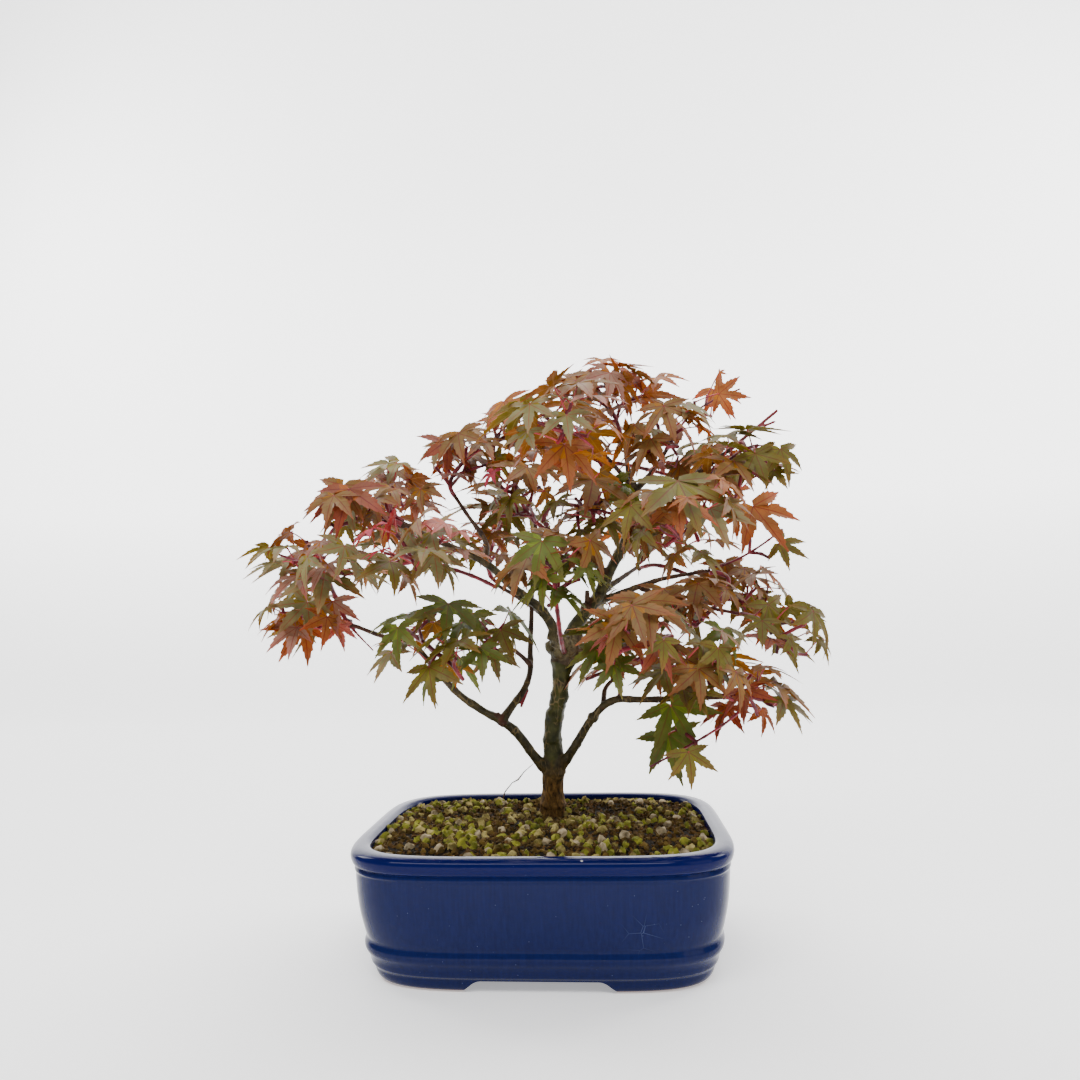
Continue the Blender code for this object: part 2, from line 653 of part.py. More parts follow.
def leaf_points(centre, forward, normal, size):
    """The rim of a leaf: lobes that spread from the top of the stalk and sag like an umbrella."""
    side = forward.cross(normal)
    points = []
    for angle, radius, sag in OUTLINE:
        turn = math.radians(angle)
        flat = forward * math.cos(turn) + side * math.sin(turn)
        points.append(centre + (flat * radius - normal * sag) * size)
    return points


def sleeves(paths, margin):
    """A search tree of square tubes round some (path, radii) pairs, wider than they are by a margin."""
    corners = []
    sides = []
    for path, radii in paths:
        for k in range(len(path) - 1):
            along = path[k + 1] - path[k]
            first = len(corners)
            for end in (k, k + 1):
                for turn in range(4):
                    out = sideways(along.normalized(), math.pi / 2 * turn)
                    corners.append(path[end] + out * (radii[end] + margin) * math.sqrt(2))
            for turn in range(4):
                after = (turn + 1) % 4
                sides.append((first + turn, first + after, first + 4 + after, first + 4 + turn))
    return BVHTree.FromPolygons(corners, sides)


def leaf_trees(rim, centre, place):
    """Search trees of a leaf's blade and of the leaf with its stalk."""
    count = len(rim)
    fans = [(k, (k + 1) % count, count) for k in range(count)]
    blade = BVHTree.FromPolygons(rim + [centre], fans)
    near_foot = place.lerp(centre, 0.3)
    stalk = [near_foot, near_foot + UP * PETIOLE_RADIUS]
    whole = BVHTree.FromPolygons(rim + [centre] + stalk, fans + [(count, count + 1, count + 2)])
    return blade, whole


def try_leaf(dice, index, place, away, rigid, own, leaves):
    """One leaf on a stalk that leaves the place, turned until it fits, or None."""
    out_part, stalk_part, front_part, stray_part = LEAF_BEARING
    for attempt in range(LEAF_TRIES):
        stray = Vector([dice.uniform(-LEAF_STRAY, LEAF_STRAY) for _ in range(3)])
        stalk = (away + UP * PETIOLE_LIFT + stray).normalized()
        centre = place + stalk * dice.uniform(*PETIOLE_LENGTH)
        size = dice.uniform(*LEAF_SIZE) * (1 - LEAF_SHRINK * attempt)
        outward = (centre - CROWN_AXIS).normalized() * out_part + stalk * stalk_part
        outward += FRONT * front_part + stray * stray_part
        outward.z = 0
        outward.normalize()
        droop = math.radians(dice.uniform(*LEAF_DROOP))
        forward = outward * math.cos(droop) - UP * math.sin(droop)
        normal = outward * math.sin(droop) + UP * math.cos(droop)
        roll = math.radians(dice.uniform(-LEAF_ROLL, LEAF_ROLL))
        normal = Matrix.Rotation(roll, 3, forward) @ normal
        crowded = any((centre - leaf[1]).length < LEAF_SPACING for leaf, _ in leaves)
        if stalk.dot(normal) < STALK_LEAN or crowded:
            continue
        rim = leaf_points(centre, forward, normal, size)
        middles = [centre.lerp(point, 0.6) for point in rim]
        if not in_own_space(index, np.array(rim + middles + [centre, place.lerp(centre, 0.5)])):
            continue
        blade, whole = leaf_trees(rim, centre, place)
        crossing = any(whole.overlap(other) for _, other in leaves)
        if whole.overlap(rigid) or blade.overlap(own) or crossing:
            continue
        return (place, centre, forward, normal, size), whole
    return None


def grow(name, stems):
    """Twigs and leaves of a mass. They stand in opposite pairs, each pair square to the last."""
    _, _, _, most, seed = MASSES[name]
    index = NAMES.index(name)
    dice = random.Random(f"{name} {seed}")
    stem = stems[name]
    others = [(PATHS[limb], RADII[limb]) for limb in PATHS]
    others += [(stems[other], even_radii(len(stems[other]), STEM_RADIUS)) for other in stems if other != name]
    limbs = segments_of(others)
    rigid = sleeves(others, TOUCH_MARGIN)
    inside = [k for k in range(1, len(stem)) if in_own_space(index, np.array([stem[k]]))]
    first = inside[0] if inside else len(stem) - 1
    out_part, along_part, up_part = TWIG_HEADING
    twigs = []
    sites = []  # order in which they get a leaf, place, direction of the stalk, number of the twig
    turn = dice.uniform(0, math.pi)
    for k in range(STEM_NODES):
        part = first + (len(stem) - 1 - first) * (k + 0.5) / (STEM_NODES - 0.5)
        low = min(int(part), len(stem) - 2)
        place = stem[low].lerp(stem[low + 1], part - low)
        along = (stem[low + 1] - stem[low]).normalized()
        turn += math.pi / 2 + dice.uniform(-0.25, 0.25)
        for sign in (1, -1):
            away = sideways(along, turn) * sign
            sites.append((2, place, away * 0.8 + along * 0.4, None))
            heading = (away * out_part + along * along_part + UP * up_part).normalized()
            length = room(index, place, heading) * dice.uniform(*TWIG_REACH) - PETIOLE_LENGTH[0] * 0.5
            end = place + heading * length + UP * (TWIG_LIFT * length)
            body = np.array([place.lerp(end, step / 8) for step in range(1, 9)])
            if length < SHORTEST_TWIG or not in_own_space(index, body):
                continue
            if clearance(body, limbs) < TWIG_RADIUS[0] + GAP:
                continue
            twigs.append([place, end])
            out = (end - place).normalized()
            slant = dice.uniform(0, math.pi)
            for leaf_sign in (1, -1):
                pair = sideways(out, slant) * leaf_sign
                square = sideways(out, slant + math.pi / 2) * leaf_sign
                sites.append((0, end - out * ROOTED, pair * 0.7 + out * 0.6, len(twigs) - 1))
                sites.append((1, place.lerp(end, TWIG_NODE), square, len(twigs) - 1))
            sites.append((3, end - out * ROOTED, out, len(twigs) - 1))
    tip = (stem[-1] - stem[-2]).normalized()
    sites.append((0, stem[-1] - tip * ROOTED, tip, None))
    own = sleeves([(stem, [0] * len(stem))] + [(twig, [0, 0]) for twig in twigs], TWIG_RADIUS[0])
    leaves = []
    bearing = set()
    for _, place, away, twig in sorted(sites, key=lambda site: site[0]):
        found = None
        if len(leaves) < most:
            found = try_leaf(dice, index, place, away, rigid, own, leaves)
        if found:
            leaves.append(found)
            bearing.add(twig)
    twigs = [twig for k, twig in enumerate(twigs) if k in bearing]
    return twigs, [leaf for leaf, _ in leaves]


def leaf_mesh(leaf):
    """A closed leaf with its stalk: two low fans on one rim, the lower one drawn out to the stalk."""
    place, centre, forward, normal, size = leaf
    stalk = (centre - place).normalized()
    work = bmesh.new()
    rim = [work.verts.new(point) for point in leaf_points(centre, forward, normal, size)]
    top = work.verts.new(centre + normal * (LEAF_THICKNESS / 2))
    collar = []
    foot = []
    side = stalk.cross(forward).normalized()
    front = side.cross(stalk)
    for angle in STALK_CORNERS:
        turn = math.radians(angle)
        corner = (front * math.cos(turn) - side * math.sin(turn)) * PETIOLE_RADIUS
        foot.append(work.verts.new(place + corner))
        # Carried along the stalk to the leaf's underside, so that the stalk's faces are flat.
        corner -= stalk * (corner.dot(normal) / stalk.dot(normal))
        collar.append(work.verts.new(centre + corner - normal * (LEAF_THICKNESS / 2)))
    # Each rim point is joined to the stalk corner on its own side of the leaf.
    corner = [0 if 0 <= angle < 120 else (1 if angle >= 120 else 2) for angle, _, _ in OUTLINE]
    for k in range(len(rim)):
        j = (k + 1) % len(rim)
        work.faces.new((rim[k], rim[j], top))
        work.faces.new((rim[j], rim[k], collar[corner[k]]))
        if corner[j] != corner[k]:
            work.faces.new((rim[j], collar[corner[k]], collar[corner[j]]))
    for k in range(3):
        j = (k + 1) % 3
        work.faces.new((collar[k], foot[k], foot[j], collar[j]))
    work.faces.new(foot)
    bmesh.ops.recalc_face_normals(work, faces=work.faces)
    mesh = bpy.data.meshes.new("leaf")
    work.to_mesh(mesh)
    work.free()
    return mesh


def fuse(name, stem, twigs, leaves, profile):
    """Join stem, twigs and leaves to one mesh, and tell whether it is closed."""
    pieces = bpy.data.collections.new(name + "_pieces")
    bpy.context.scene.collection.children.link(pieces)
    whole = tube(name + "_stem", stem, even_radii(len(stem), STEM_RADIUS), 0, cutters, profile)
    for twig in twigs:
        tube(name + "_twig", twig, even_radii(len(twig), TWIG_RADIUS), 0, pieces, profile)
    for leaf in leaves:
        add_object(name + "_leaf", leaf_mesh(leaf), pieces)
    for solver in ("EXACT", "MANIFOLD"):
        modifier = boolean(whole, "UNION", collection=pieces, solver=solver)
        bpy.context.view_layer.update()
        graph = bpy.context.evaluated_depsgraph_get()
        fused = bpy.data.meshes.new_from_object(whole.evaluated_get(graph))
        whole.modifiers.remove(modifier)
        closed = one_closed_solid(fused)
        if closed:
            break
    for piece in [whole] + list(pieces.objects):
        bpy.data.objects.remove(piece, do_unlink=True)
    bpy.data.collections.remove(pieces)
    return fused, closed


def make_mass(name, stem, twigs, leaves, blade, profile):
    """One leafy mass. Where its pieces don't fuse to a closed solid it has a leaf fewer."""
    fused, closed = fuse(name, stem, twigs, leaves, profile)
    while not closed and leaves:
        leaves = leaves[:-1]
        fused, closed = fuse(name, stem, twigs, leaves, profile)
    fused.name = name
    fused.materials.clear()
    fused.materials.append(blade)
    add_object("leaves_" + name, fused)


def three_sided_profile():
    """The closed curve that the sections of stems and twigs follow, with a radius of one metre."""
    curve = bpy.data.curves.new("three_sided", "CURVE")
    spline = curve.splines.new("POLY")
    spline.points.add(2)
    spline.use_cyclic_u = True
    for k, point in enumerate(spline.points):
        point.co = (math.cos(math.tau * k / 3), math.sin(math.tau * k / 3), 0, 1)
    return add_object("three_sided", curve, cutters)


def make_masses():
    blade = make_material("bronze_green_leaf", (0.150, 0.115, 0.030), 0.55)
    profile = three_sided_profile()
    stems = {}
    for name in NAMES:
        others = [segments_of([(path, even_radii(len(path), STEM_RADIUS))]) for path in stems.values()]
        stems[name] = grow_stem(name, others)
    for name in NAMES:
        twigs, leaves = grow(name, stems)
        make_mass(name, stems[name], twigs, leaves, blade, profile)
    bpy.data.objects.remove(profile, do_unlink=True)


make_pot()
make_soil()
make_limbs()
make_masses()
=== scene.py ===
"""A young Japanese maple grown as a bonsai in a blue glazed pot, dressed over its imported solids."""

import math
import random

import bmesh
import bpy
import numpy as np
from mathutils import Matrix, Vector, noise
from mathutils.bvhtree import BVHTree
from mathutils.kdtree import KDTree


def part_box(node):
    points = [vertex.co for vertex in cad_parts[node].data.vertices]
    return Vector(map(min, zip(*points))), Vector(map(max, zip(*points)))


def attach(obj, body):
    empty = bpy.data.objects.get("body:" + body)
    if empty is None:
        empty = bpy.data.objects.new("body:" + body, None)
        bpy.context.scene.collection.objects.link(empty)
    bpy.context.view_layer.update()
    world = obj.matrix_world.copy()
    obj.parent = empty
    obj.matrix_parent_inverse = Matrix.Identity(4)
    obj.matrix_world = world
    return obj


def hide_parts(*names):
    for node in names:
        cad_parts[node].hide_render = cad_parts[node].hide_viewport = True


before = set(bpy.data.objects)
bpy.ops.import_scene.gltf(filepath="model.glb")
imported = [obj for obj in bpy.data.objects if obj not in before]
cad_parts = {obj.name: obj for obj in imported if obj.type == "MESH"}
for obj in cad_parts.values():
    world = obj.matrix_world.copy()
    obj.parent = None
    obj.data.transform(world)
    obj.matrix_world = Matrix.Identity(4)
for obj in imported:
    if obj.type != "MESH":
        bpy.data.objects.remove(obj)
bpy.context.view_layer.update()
MM = 0.001


# ================================================================ pot
# A pressed stoneware bonsai pot with a rolled lip, a low ring near its foot and four corner feet.
# It was dipped in a cobalt glaze that ran a little and lies deepest on the lip. The undersides of
# its feet were wiped bare, so the red brown clay shows there.
POT_LENGTH = 200 * MM
POT_DEPTH = 152 * MM
POT_SQUARENESS = 4.9
POT_CORNERS = 200
LIP_TOP = 65  # mm
WALL_STEP = 0.7  # mm between the rings of the wall
FOOT_HEIGHT = 6 * MM
FEET_APART_FRONT = 62 * MM
FEET_APART_SIDE = 44 * MM
FEET_SPLAY = 7 * MM
FEET_ROUND = 2.5 * MM
FEET_CLEAR = 0.2 * MM  # the gaps between the feet end this far under the pot's floor
POT_CREASE = 38  # degrees: flatter edges than this are smooth
DRAIN_RADIUS = 6.5 * MM
DRAIN_X = 42 * MM
LIP_GLINT = (0.0223, -0.0745, 0.0650)  # a painted highlight on the top of the lip
SCUFFS = (0.0500, -0.0745, 0.0285)  # fine scratches on the front, right of its middle
# Height and inset in mm of the wall, from the feet's inner side round the outside to the floor.
POT_WALL = [
    (6, 28), (5.4, 27), (1, 26.2), (0, 25), (0, 20), (0, 15.5), (0.3, 14), (1.4, 12.4), (3.6, 11.4),
    (6, 10.9), (7.1, 10.2), (7.8, 9.5), (9.2, 9.1), (11, 8.7), (13.2, 7.8), (14.6, 7.0), (16.2, 6.5),
    (17.8, 6.5), (19.2, 7.0), (20.6, 7.4), (22.4, 6.8), (27, 5.6), (34, 4.1), (42, 3.0), (50, 2.4),
    (53.4, 2.3), (54.4, 1.8), (55.4, 1.9), (56.2, 2.3), (56.9, 1.9), (57.7, 0.9), (59.2, 0.3), (61, 0),
    (62.6, 0.2), (63.8, 1.0), (64.6, 2.4), (65, 4.4), (65, 6.6), (64.6, 8.2), (63.6, 9.2), (62, 9.7),
    (56, 10.1), (40, 11.4), (24, 13), (16, 14.8), (13.4, 17), (13, 20), (13, 30),
]


def linear(colour):
    """An sRGB hex colour as linear red, green and blue, with full alpha."""
    parts = [int(colour[k:k + 2], 16) / 255 for k in (1, 3, 5)]
    return (*[c / 12.92 if c <= 0.04045 else ((c + 0.055) / 1.055) ** 2.4 for c in parts], 1.0)


def feed(tree, node, inputs):
    """Set a node's inputs. One that is given a node is linked from its first output in use."""
    for name, value in inputs.items():
        if isinstance(value, bpy.types.Node):
            value = next(socket for socket in value.outputs if socket.enabled)
        if isinstance(value, bpy.types.NodeSocket):
            tree.links.new(value, node.inputs[name])
        else:
            node.inputs[name].default_value = linear(value) if isinstance(value, str) else value


def add_node(tree, kind, inputs=None, stops=(), **settings):
    """Add a node with its settings, its inputs and the stops of its colour ramp."""
    node = tree.nodes.new(kind)
    for name, value in settings.items():
        setattr(node, name, value)
    for element, (position, colour) in enumerate(stops):
        node.color_ramp.elements[element].position = position
        node.color_ramp.elements[element].color = linear(colour)
    feed(tree, node, inputs or {})
    return node


def new_material(name, roughness, mirror=0.5):
    """A material with its tree, its Principled shader and its Object coordinates."""
    material = bpy.data.materials.new(name)
    material.use_nodes = True
    tree = material.node_tree
    shader = tree.nodes["Principled BSDF"]
    feed(tree, shader, {"Roughness": roughness, "Specular IOR Level": mirror})
    place = add_node(tree, "ShaderNodeTexCoord").outputs["Object"]
    return material, tree, shader, place


def grain(size):
    """Texture scale for a pattern whose features measure size millimetres."""
    return 1 / (size * MM)


def add_object(name, mesh):
    thing = bpy.data.objects.new(name, mesh)
    bpy.context.scene.collection.objects.link(thing)
    return thing


def mesh_from(work, name):
    """The mesh of a bmesh, which is freed."""
    mesh = bpy.data.meshes.new(name)
    work.to_mesh(mesh)
    work.free()
    return mesh


def coat(thing, material):
    """Give a piece its only material."""
    thing.data.materials.clear()
    thing.data.materials.append(material)


def evaluated(thing):
    """Turn an object with modifiers, or a curve, into a plain mesh object of the same name."""
    bpy.context.view_layer.update()
    graph = bpy.context.evaluated_depsgraph_get()
    mesh = bpy.data.meshes.new_from_object(thing.evaluated_get(graph))
    name = thing.name
    bpy.data.objects.remove(thing, do_unlink=True)
    return add_object(name, mesh)


def through(points, step):
    """Places about a step apart on a smooth line through the given places."""
    knots = [2 * points[0] - points[1]] + points + [2 * points[-1] - points[-2]]
    fine = [knots[1]]
    for a, b, c, d in zip(knots, knots[1:], knots[2:], knots[3:]):
        for k in range(1, 13):
            t = k / 12
            bent = (2 * a - 5 * b + 4 * c - d) * t ** 2 + (3 * b - a - 3 * c + d) * t ** 3
            fine.append(0.5 * (2 * b + (c - a) * t + bent))
    lengths = [0.0]
    for a, b in zip(fine, fine[1:]):
        lengths.append(lengths[-1] + (b - a).length)
    count = max(2, round(lengths[-1] / step))
    places = []
    for k in range(count + 1):
        want = lengths[-1] * k / count
        i = min(max(1, int(np.searchsorted(lengths, want))), len(fine) - 1)
        part = (want - lengths[i - 1]) / (lengths[i] - lengths[i - 1])
        places.append(fine[i - 1].lerp(fine[i], part))
    return places


def pot_ring(height, inset, corners):
    """The pot's rounded rectangle at a height, inset from the lip's widest line."""
    power = 2 / POT_SQUARENESS
    ring = []
    for k in range(corners):
        angle = math.tau * (k + 0.5) / corners
        x = math.copysign(abs(math.cos(angle)) ** power, math.cos(angle))
        y = math.copysign(abs(math.sin(angle)) ** power, math.sin(angle))
        ring.append(((POT_LENGTH / 2 - inset) * x, (POT_DEPTH / 2 - inset) * y, height))
    return ring


def foot_gap(name, width, length, turned):
    """A cutter for the space between two feet, wider at the ground, with round upper edges."""
    below = 4 * MM
    work = bmesh.new()
    bmesh.ops.create_cube(work, size=1.0)
    for corner in work.verts:
        top = corner.co.z > 0
        half = width / 2 if top else width / 2 + FEET_SPLAY * (1 + below / FOOT_HEIGHT)
        corner.co.x = math.copysign(half, corner.co.x)
        corner.co.y *= length
        corner.co.z = FOOT_HEIGHT - FEET_CLEAR if top else -below
    long_edges = [
        edge for edge in work.edges
        if all(end.co.z > 0 for end in edge.verts) and abs(edge.verts[0].co.x - edge.verts[1].co.x) < MM]
    bmesh.ops.bevel(work, geom=long_edges, offset=FEET_ROUND, segments=4, profile=0.5, affect="EDGES")
    if turned:
        bmesh.ops.rotate(work, verts=work.verts, matrix=Matrix.Rotation(math.pi / 2, 3, "Z"))
    return add_object(name, mesh_from(work, name))


wall = through([Vector((height, inset, 0)) for height, inset in POT_WALL], WALL_STEP)
work = bmesh.new()
rings = []
for place in wall:
    height = min(max(place.x, 0), LIP_TOP)
    rings.append([work.verts.new(point) for point in pot_ring(height * MM, place.y * MM, POT_CORNERS)])
for low, high in zip(rings, rings[1:]):
    for k in range(POT_CORNERS):
        j = (k + 1) % POT_CORNERS
        work.faces.new((low[k], low[j], high[j], high[k]))
work.faces.new(reversed(rings[0]))
work.faces.new(rings[-1])
bmesh.ops.recalc_face_normals(work, faces=work.faces)
pot = add_object("glazed_pot", mesh_from(work, "glazed_pot"))
cutters = [
    foot_gap("gap_front", FEET_APART_FRONT, POT_DEPTH * 1.1, False),
    foot_gap("gap_side", FEET_APART_SIDE, POT_LENGTH * 1.1, True),
]
for side in (-1, 1):
    work = bmesh.new()
    bmesh.ops.create_cone(
        work, cap_ends=True, segments=32, radius1=DRAIN_RADIUS, radius2=DRAIN_RADIUS, depth=FOOT_HEIGHT * 4)
    bmesh.ops.translate(work, verts=work.verts, vec=(side * DRAIN_X, 0, FOOT_HEIGHT * 1.5))
    cutters.append(add_object(f"drain_{side}", mesh_from(work, "drain")))
for cutter in cutters:
    cut = pot.modifiers.new("cut", "BOOLEAN")
    cut.operation = "DIFFERENCE"
    cut.object = cutter
pot = evaluated(pot)
for cutter in cutters:
    bpy.data.objects.remove(cutter, do_unlink=True)
pot.data.shade_smooth()
pot.data.set_sharp_from_angle(angle=math.radians(POT_CREASE))

# Cobalt glaze: glass over dark clay, so it is deep blue with a hard shine. Glaze that ran leaves
# upright streaks, and gas bubbles leave pale pinholes, drawn about 0.5 mm wide. A pale spot on the
# top of the lip is a painted highlight, and fine scratches cross the front.
glaze, tree, shader, place = new_material("cobalt_stoneware_glaze", 0.08, 0.3)
stretch = add_node(tree, "ShaderNodeMapping", {"Vector": place, "Scale": (1.0, 1.0, 0.06)})
streaks = add_node(tree, "ShaderNodeTexNoise", {
    "Vector": stretch, "Scale": grain(1.6), "Detail": 5.0, "Roughness": 0.65})
clouds = add_node(tree, "ShaderNodeTexNoise", {"Vector": place, "Scale": grain(22), "Detail": 3.0})
deep = add_node(
    tree, "ShaderNodeValToRGB", {"Fac": streaks}, stops=((0.30, "#0a1136"), (0.72, "#111a49")))
cloudy = add_node(tree, "ShaderNodeMix", {"Factor": clouds, "A": deep, "B": "#0c153f"}, data_type="RGBA")
height = add_node(tree, "ShaderNodeSeparateXYZ", {"Vector": place}).outputs["Z"]
lip = add_node(tree, "ShaderNodeMapRange", {
    "Value": height, "From Min": 55.5 * MM, "From Max": 59 * MM, "To Max": 0.85})
royal = add_node(tree, "ShaderNodeMix", {"Factor": lip, "A": cloudy, "B": "#010640"}, data_type="RGBA")
pinholes = add_node(tree, "ShaderNodeTexVoronoi", {"Vector": place, "Scale": grain(4.5)})
speck = add_node(tree, "ShaderNodeMapRange", {
    "Value": pinholes, "From Min": 0.06, "From Max": 0.02, "To Max": 0.2})
specked = add_node(tree, "ShaderNodeMix", {"Factor": speck, "A": royal, "B": "#8c9cc4"}, data_type="RGBA")
# A pale spot on the top of the lip is a painted highlight.
from_glint = add_node(tree, "ShaderNodeVectorMath", {0: place, 1: LIP_GLINT}, operation="DISTANCE")
spot = add_node(tree, "ShaderNodeMapRange", {
    "Value": from_glint, "From Min": 1.1 * MM, "From Max": 0.7 * MM, "To Max": 0.9})
glinted = add_node(tree, "ShaderNodeMix", {
    "Factor": spot, "A": specked, "B": "#b9bab6"}, data_type="RGBA")
scratches = add_node(tree, "ShaderNodeTexVoronoi", {
    "Vector": place, "Scale": grain(8)}, feature="DISTANCE_TO_EDGE")
scratch = add_node(tree, "ShaderNodeMapRange", {
    "Value": scratches, "From Min": 0.022, "From Max": 0.010, "To Max": 0.10})
from_scuffs = add_node(tree, "ShaderNodeVectorMath", {0: place, 1: SCUFFS}, operation="DISTANCE")
near_scuffs = add_node(tree, "ShaderNodeMapRange", {
    "Value": from_scuffs, "From Min": 12 * MM, "From Max": 3 * MM})
scuff = add_node(tree, "ShaderNodeMath", {0: scratch, 1: near_scuffs}, operation="MULTIPLY")
scuffed = add_node(tree, "ShaderNodeMix", {
    "Factor": scuff, "A": glinted, "B": "#7f93c8"}, data_type="RGBA")
bare = add_node(tree, "ShaderNodeMath", {0: height, 1: 0.9 * MM}, operation="LESS_THAN")
fired = add_node(tree, "ShaderNodeMix", {"Factor": bare, "A": scuffed, "B": "#6d3a24"}, data_type="RGBA")
shine = add_node(tree, "ShaderNodeMapRange", {"Value": bare, "To Min": 0.09, "To Max": 0.85})
ripple = add_node(tree, "ShaderNodeTexNoise", {"Vector": place, "Scale": grain(7), "Detail": 2.0})
bump = add_node(tree, "ShaderNodeBump", {"Height": ripple, "Strength": 0.25, "Distance": 0.25 * MM})
feed(tree, shader, {"IOR": 1.28, "Base Color": fired, "Roughness": shine, "Normal": bump})
coat(pot, glaze)
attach(pot, "root")
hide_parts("pot")


# ================================================================ soil
# Baked clay crumbs and grains with some cream pumice, sieved to 2 to 8 mm and poured to just under
# the lip. Algae have turned many stones yellow green. Fine brown dust lies between them, painted
# near black as the shade in the gaps.
SOIL_LEVEL = 61.2 * MM
GRAIN_SHAPES = 8
GRAIN_SQUASH = ((0.85, 1.2), (0.75, 1.05), (0.6, 0.9))  # length, width and height, as parts of the size
GRAIN_CREASE = 34  # degrees
GRAINS_MOST = 6.0e5  # to a square metre, before their spacing thins them out
CLOUD_SIZE = 26  # mm of the patches in which a kind lies thick or thin
CLOUD_FULL = 0.62  # from here up in the cloud pattern it lies as thick as it can
BED_DEPTH = 1.2 * MM  # the heaped top reaches down to this far under the soil's level
DRY_STEM = [  # places in mm along a dry stem, and its radius in mm there
    ((-33, 66, 60), 0.48), ((-31, 66, 67), 0.40), ((-26, 65, 73), 0.32), ((-22, 65, 75), 0.52),
    ((-18, 64, 80), 0.32), ((-12, 64, 85), 0.20),
]

# The dust is painted near black: partly brown dust, partly painted shade in the gaps between grains.
dust_and_shade, tree, shader, place = new_material("damp_clay_dust", 0.95, 0.1)
dirt = add_node(tree, "ShaderNodeTexNoise", {"Vector": place, "Scale": grain(1.5), "Detail": 6.0})
shaded_earth = add_node(tree, "ShaderNodeValToRGB", {"Fac": dirt}, stops=((0.35, "#0b0702"), (0.70, "#1c1204")))
bump = add_node(tree, "ShaderNodeBump", {"Height": dirt, "Distance": 1.0 * MM})
feed(tree, shader, {"Base Color": shaded_earth, "Normal": bump})
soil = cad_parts["soil"]
for slot in soil.material_slots:
    slot.link = "OBJECT"
    slot.material = dust_and_shade


def grain_shapes(name, fineness, hollow, seed):
    """A hidden collection of stones, each a small ball pushed in and out until it is lumpy."""
    shapes = bpy.data.collections.new(name)
    dice = random.Random(seed)
    for k in range(GRAIN_SHAPES):
        squash = Vector([dice.uniform(*span) for span in GRAIN_SQUASH])
        work = bmesh.new()
        bmesh.ops.create_icosphere(work, subdivisions=fineness, radius=0.5)
        for corner in work.verts:
            out = corner.co.normalized()
            place = out * 1.5 + Vector((k * 7.0, seed * 11.0, 0))
            lump = 1 + hollow * noise.noise(place) + 0.5 * hollow * noise.noise(place * 2.7)
            corner.co = corner.co * squash * lump
        mesh = mesh_from(work, f"{name}_{k}")
        mesh.shade_smooth()
        mesh.set_sharp_from_angle(angle=math.radians(GRAIN_CREASE))
        shapes.objects.link(bpy.data.objects.new(mesh.name, mesh))
    return shapes


def scatter_tree():
    """Geometry Nodes that strew shapes over a surface in patches, each turned and sized at random."""
    tree = bpy.data.node_groups.new("strew_grains", "GeometryNodeTree")
    face = tree.interface
    face.new_socket("Surface", in_out="INPUT", socket_type="NodeSocketGeometry")
    for label, kind in (
            ("Shapes", "Collection"), ("Material", "Material"), ("Seed", "Int"), ("Spacing", "Float"),
            ("Smallest", "Float"), ("Largest", "Float"), ("Bare Patches", "Float")):
        face.new_socket(label, in_out="INPUT", socket_type=f"NodeSocket{kind}")
    face.new_socket("Grains", in_out="OUTPUT", socket_type="NodeSocketGeometry")
    given = add_node(tree, "NodeGroupInput").outputs
    clouds = add_node(tree, "ShaderNodeTexNoise", {"Scale": grain(CLOUD_SIZE), "Detail": 1.0})
    thick = add_node(tree, "ShaderNodeMapRange", {
        "Value": clouds, "From Min": given["Bare Patches"], "From Max": CLOUD_FULL})
    points = add_node(tree, "GeometryNodeDistributePointsOnFaces", {
        "Mesh": given["Surface"], "Distance Min": given["Spacing"], "Density Max": GRAINS_MOST,
        "Density Factor": thick, "Seed": given["Seed"]}, distribute_method="POISSON")
    shapes = add_node(tree, "GeometryNodeCollectionInfo", {
        "Collection": given["Shapes"], "Separate Children": True, "Reset Children": True})
    turned = add_node(tree, "FunctionNodeRandomValue", {
        "Max": (math.tau, math.tau, math.tau), "Seed": given["Seed"]}, data_type="FLOAT_VECTOR")
    sized = add_node(tree, "FunctionNodeRandomValue", {
        2: given["Smallest"], 3: given["Largest"], "Seed": given["Seed"]}, data_type="FLOAT")
    placed = add_node(tree, "GeometryNodeInstanceOnPoints", {
        "Points": points, "Instance": shapes, "Pick Instance": True, "Rotation": turned, "Scale": sized})
    real = add_node(tree, "GeometryNodeRealizeInstances", {"Geometry": placed})
    coated = add_node(tree, "GeometryNodeSetMaterial", {"Geometry": real, "Material": given["Material"]})
    add_node(tree, "NodeGroupOutput", {"Grains": coated})
    return tree


def set_inputs(modifier, **values):
    """Set a Geometry Nodes modifier's inputs by the names of their sockets, spaces as underscores."""
    for item in modifier.node_group.interface.items_tree:
        name = item.name.replace(" ", "_")
        if item.in_out == "INPUT" and name in values:
            modifier[item.identifier] = values[name]


def grain_material(name, dark, light, size):
    """Baked or broken mineral: dull, pitted at about half a millimetre, uneven in colour."""
    material, tree, shader, place = new_material(name, 0.95, 0.15)
    patches = add_node(tree, "ShaderNodeTexNoise", {"Vector": place, "Scale": grain(size), "Detail": 4.0})
    tone = add_node(tree, "ShaderNodeValToRGB", {"Fac": patches}, stops=((0.32, dark), (0.68, light)))
    pits = add_node(tree, "ShaderNodeTexNoise", {"Vector": place, "Scale": grain(0.7), "Detail": 3.0})
    bump = add_node(tree, "ShaderNodeBump", {"Height": pits, "Strength": 0.9, "Distance": 0.5 * MM})
    feed(tree, shader, {"Base Color": tone, "Normal": bump})
    return material


def soil_bed(name, sunk):
    """A copy of the soil's heaped top, sunk by the depth to which the grains are buried in it."""
    work = bmesh.new()
    work.from_mesh(soil.data)
    sides = [
        face for face in work.faces
        if face.normal.z < 0.5 or face.calc_center_median().z < SOIL_LEVEL - BED_DEPTH]
    bmesh.ops.delete(work, geom=sides, context="FACES")
    bmesh.ops.translate(work, verts=work.verts, vec=(0, 0, -sunk))
    return add_object(name, mesh_from(work, name))


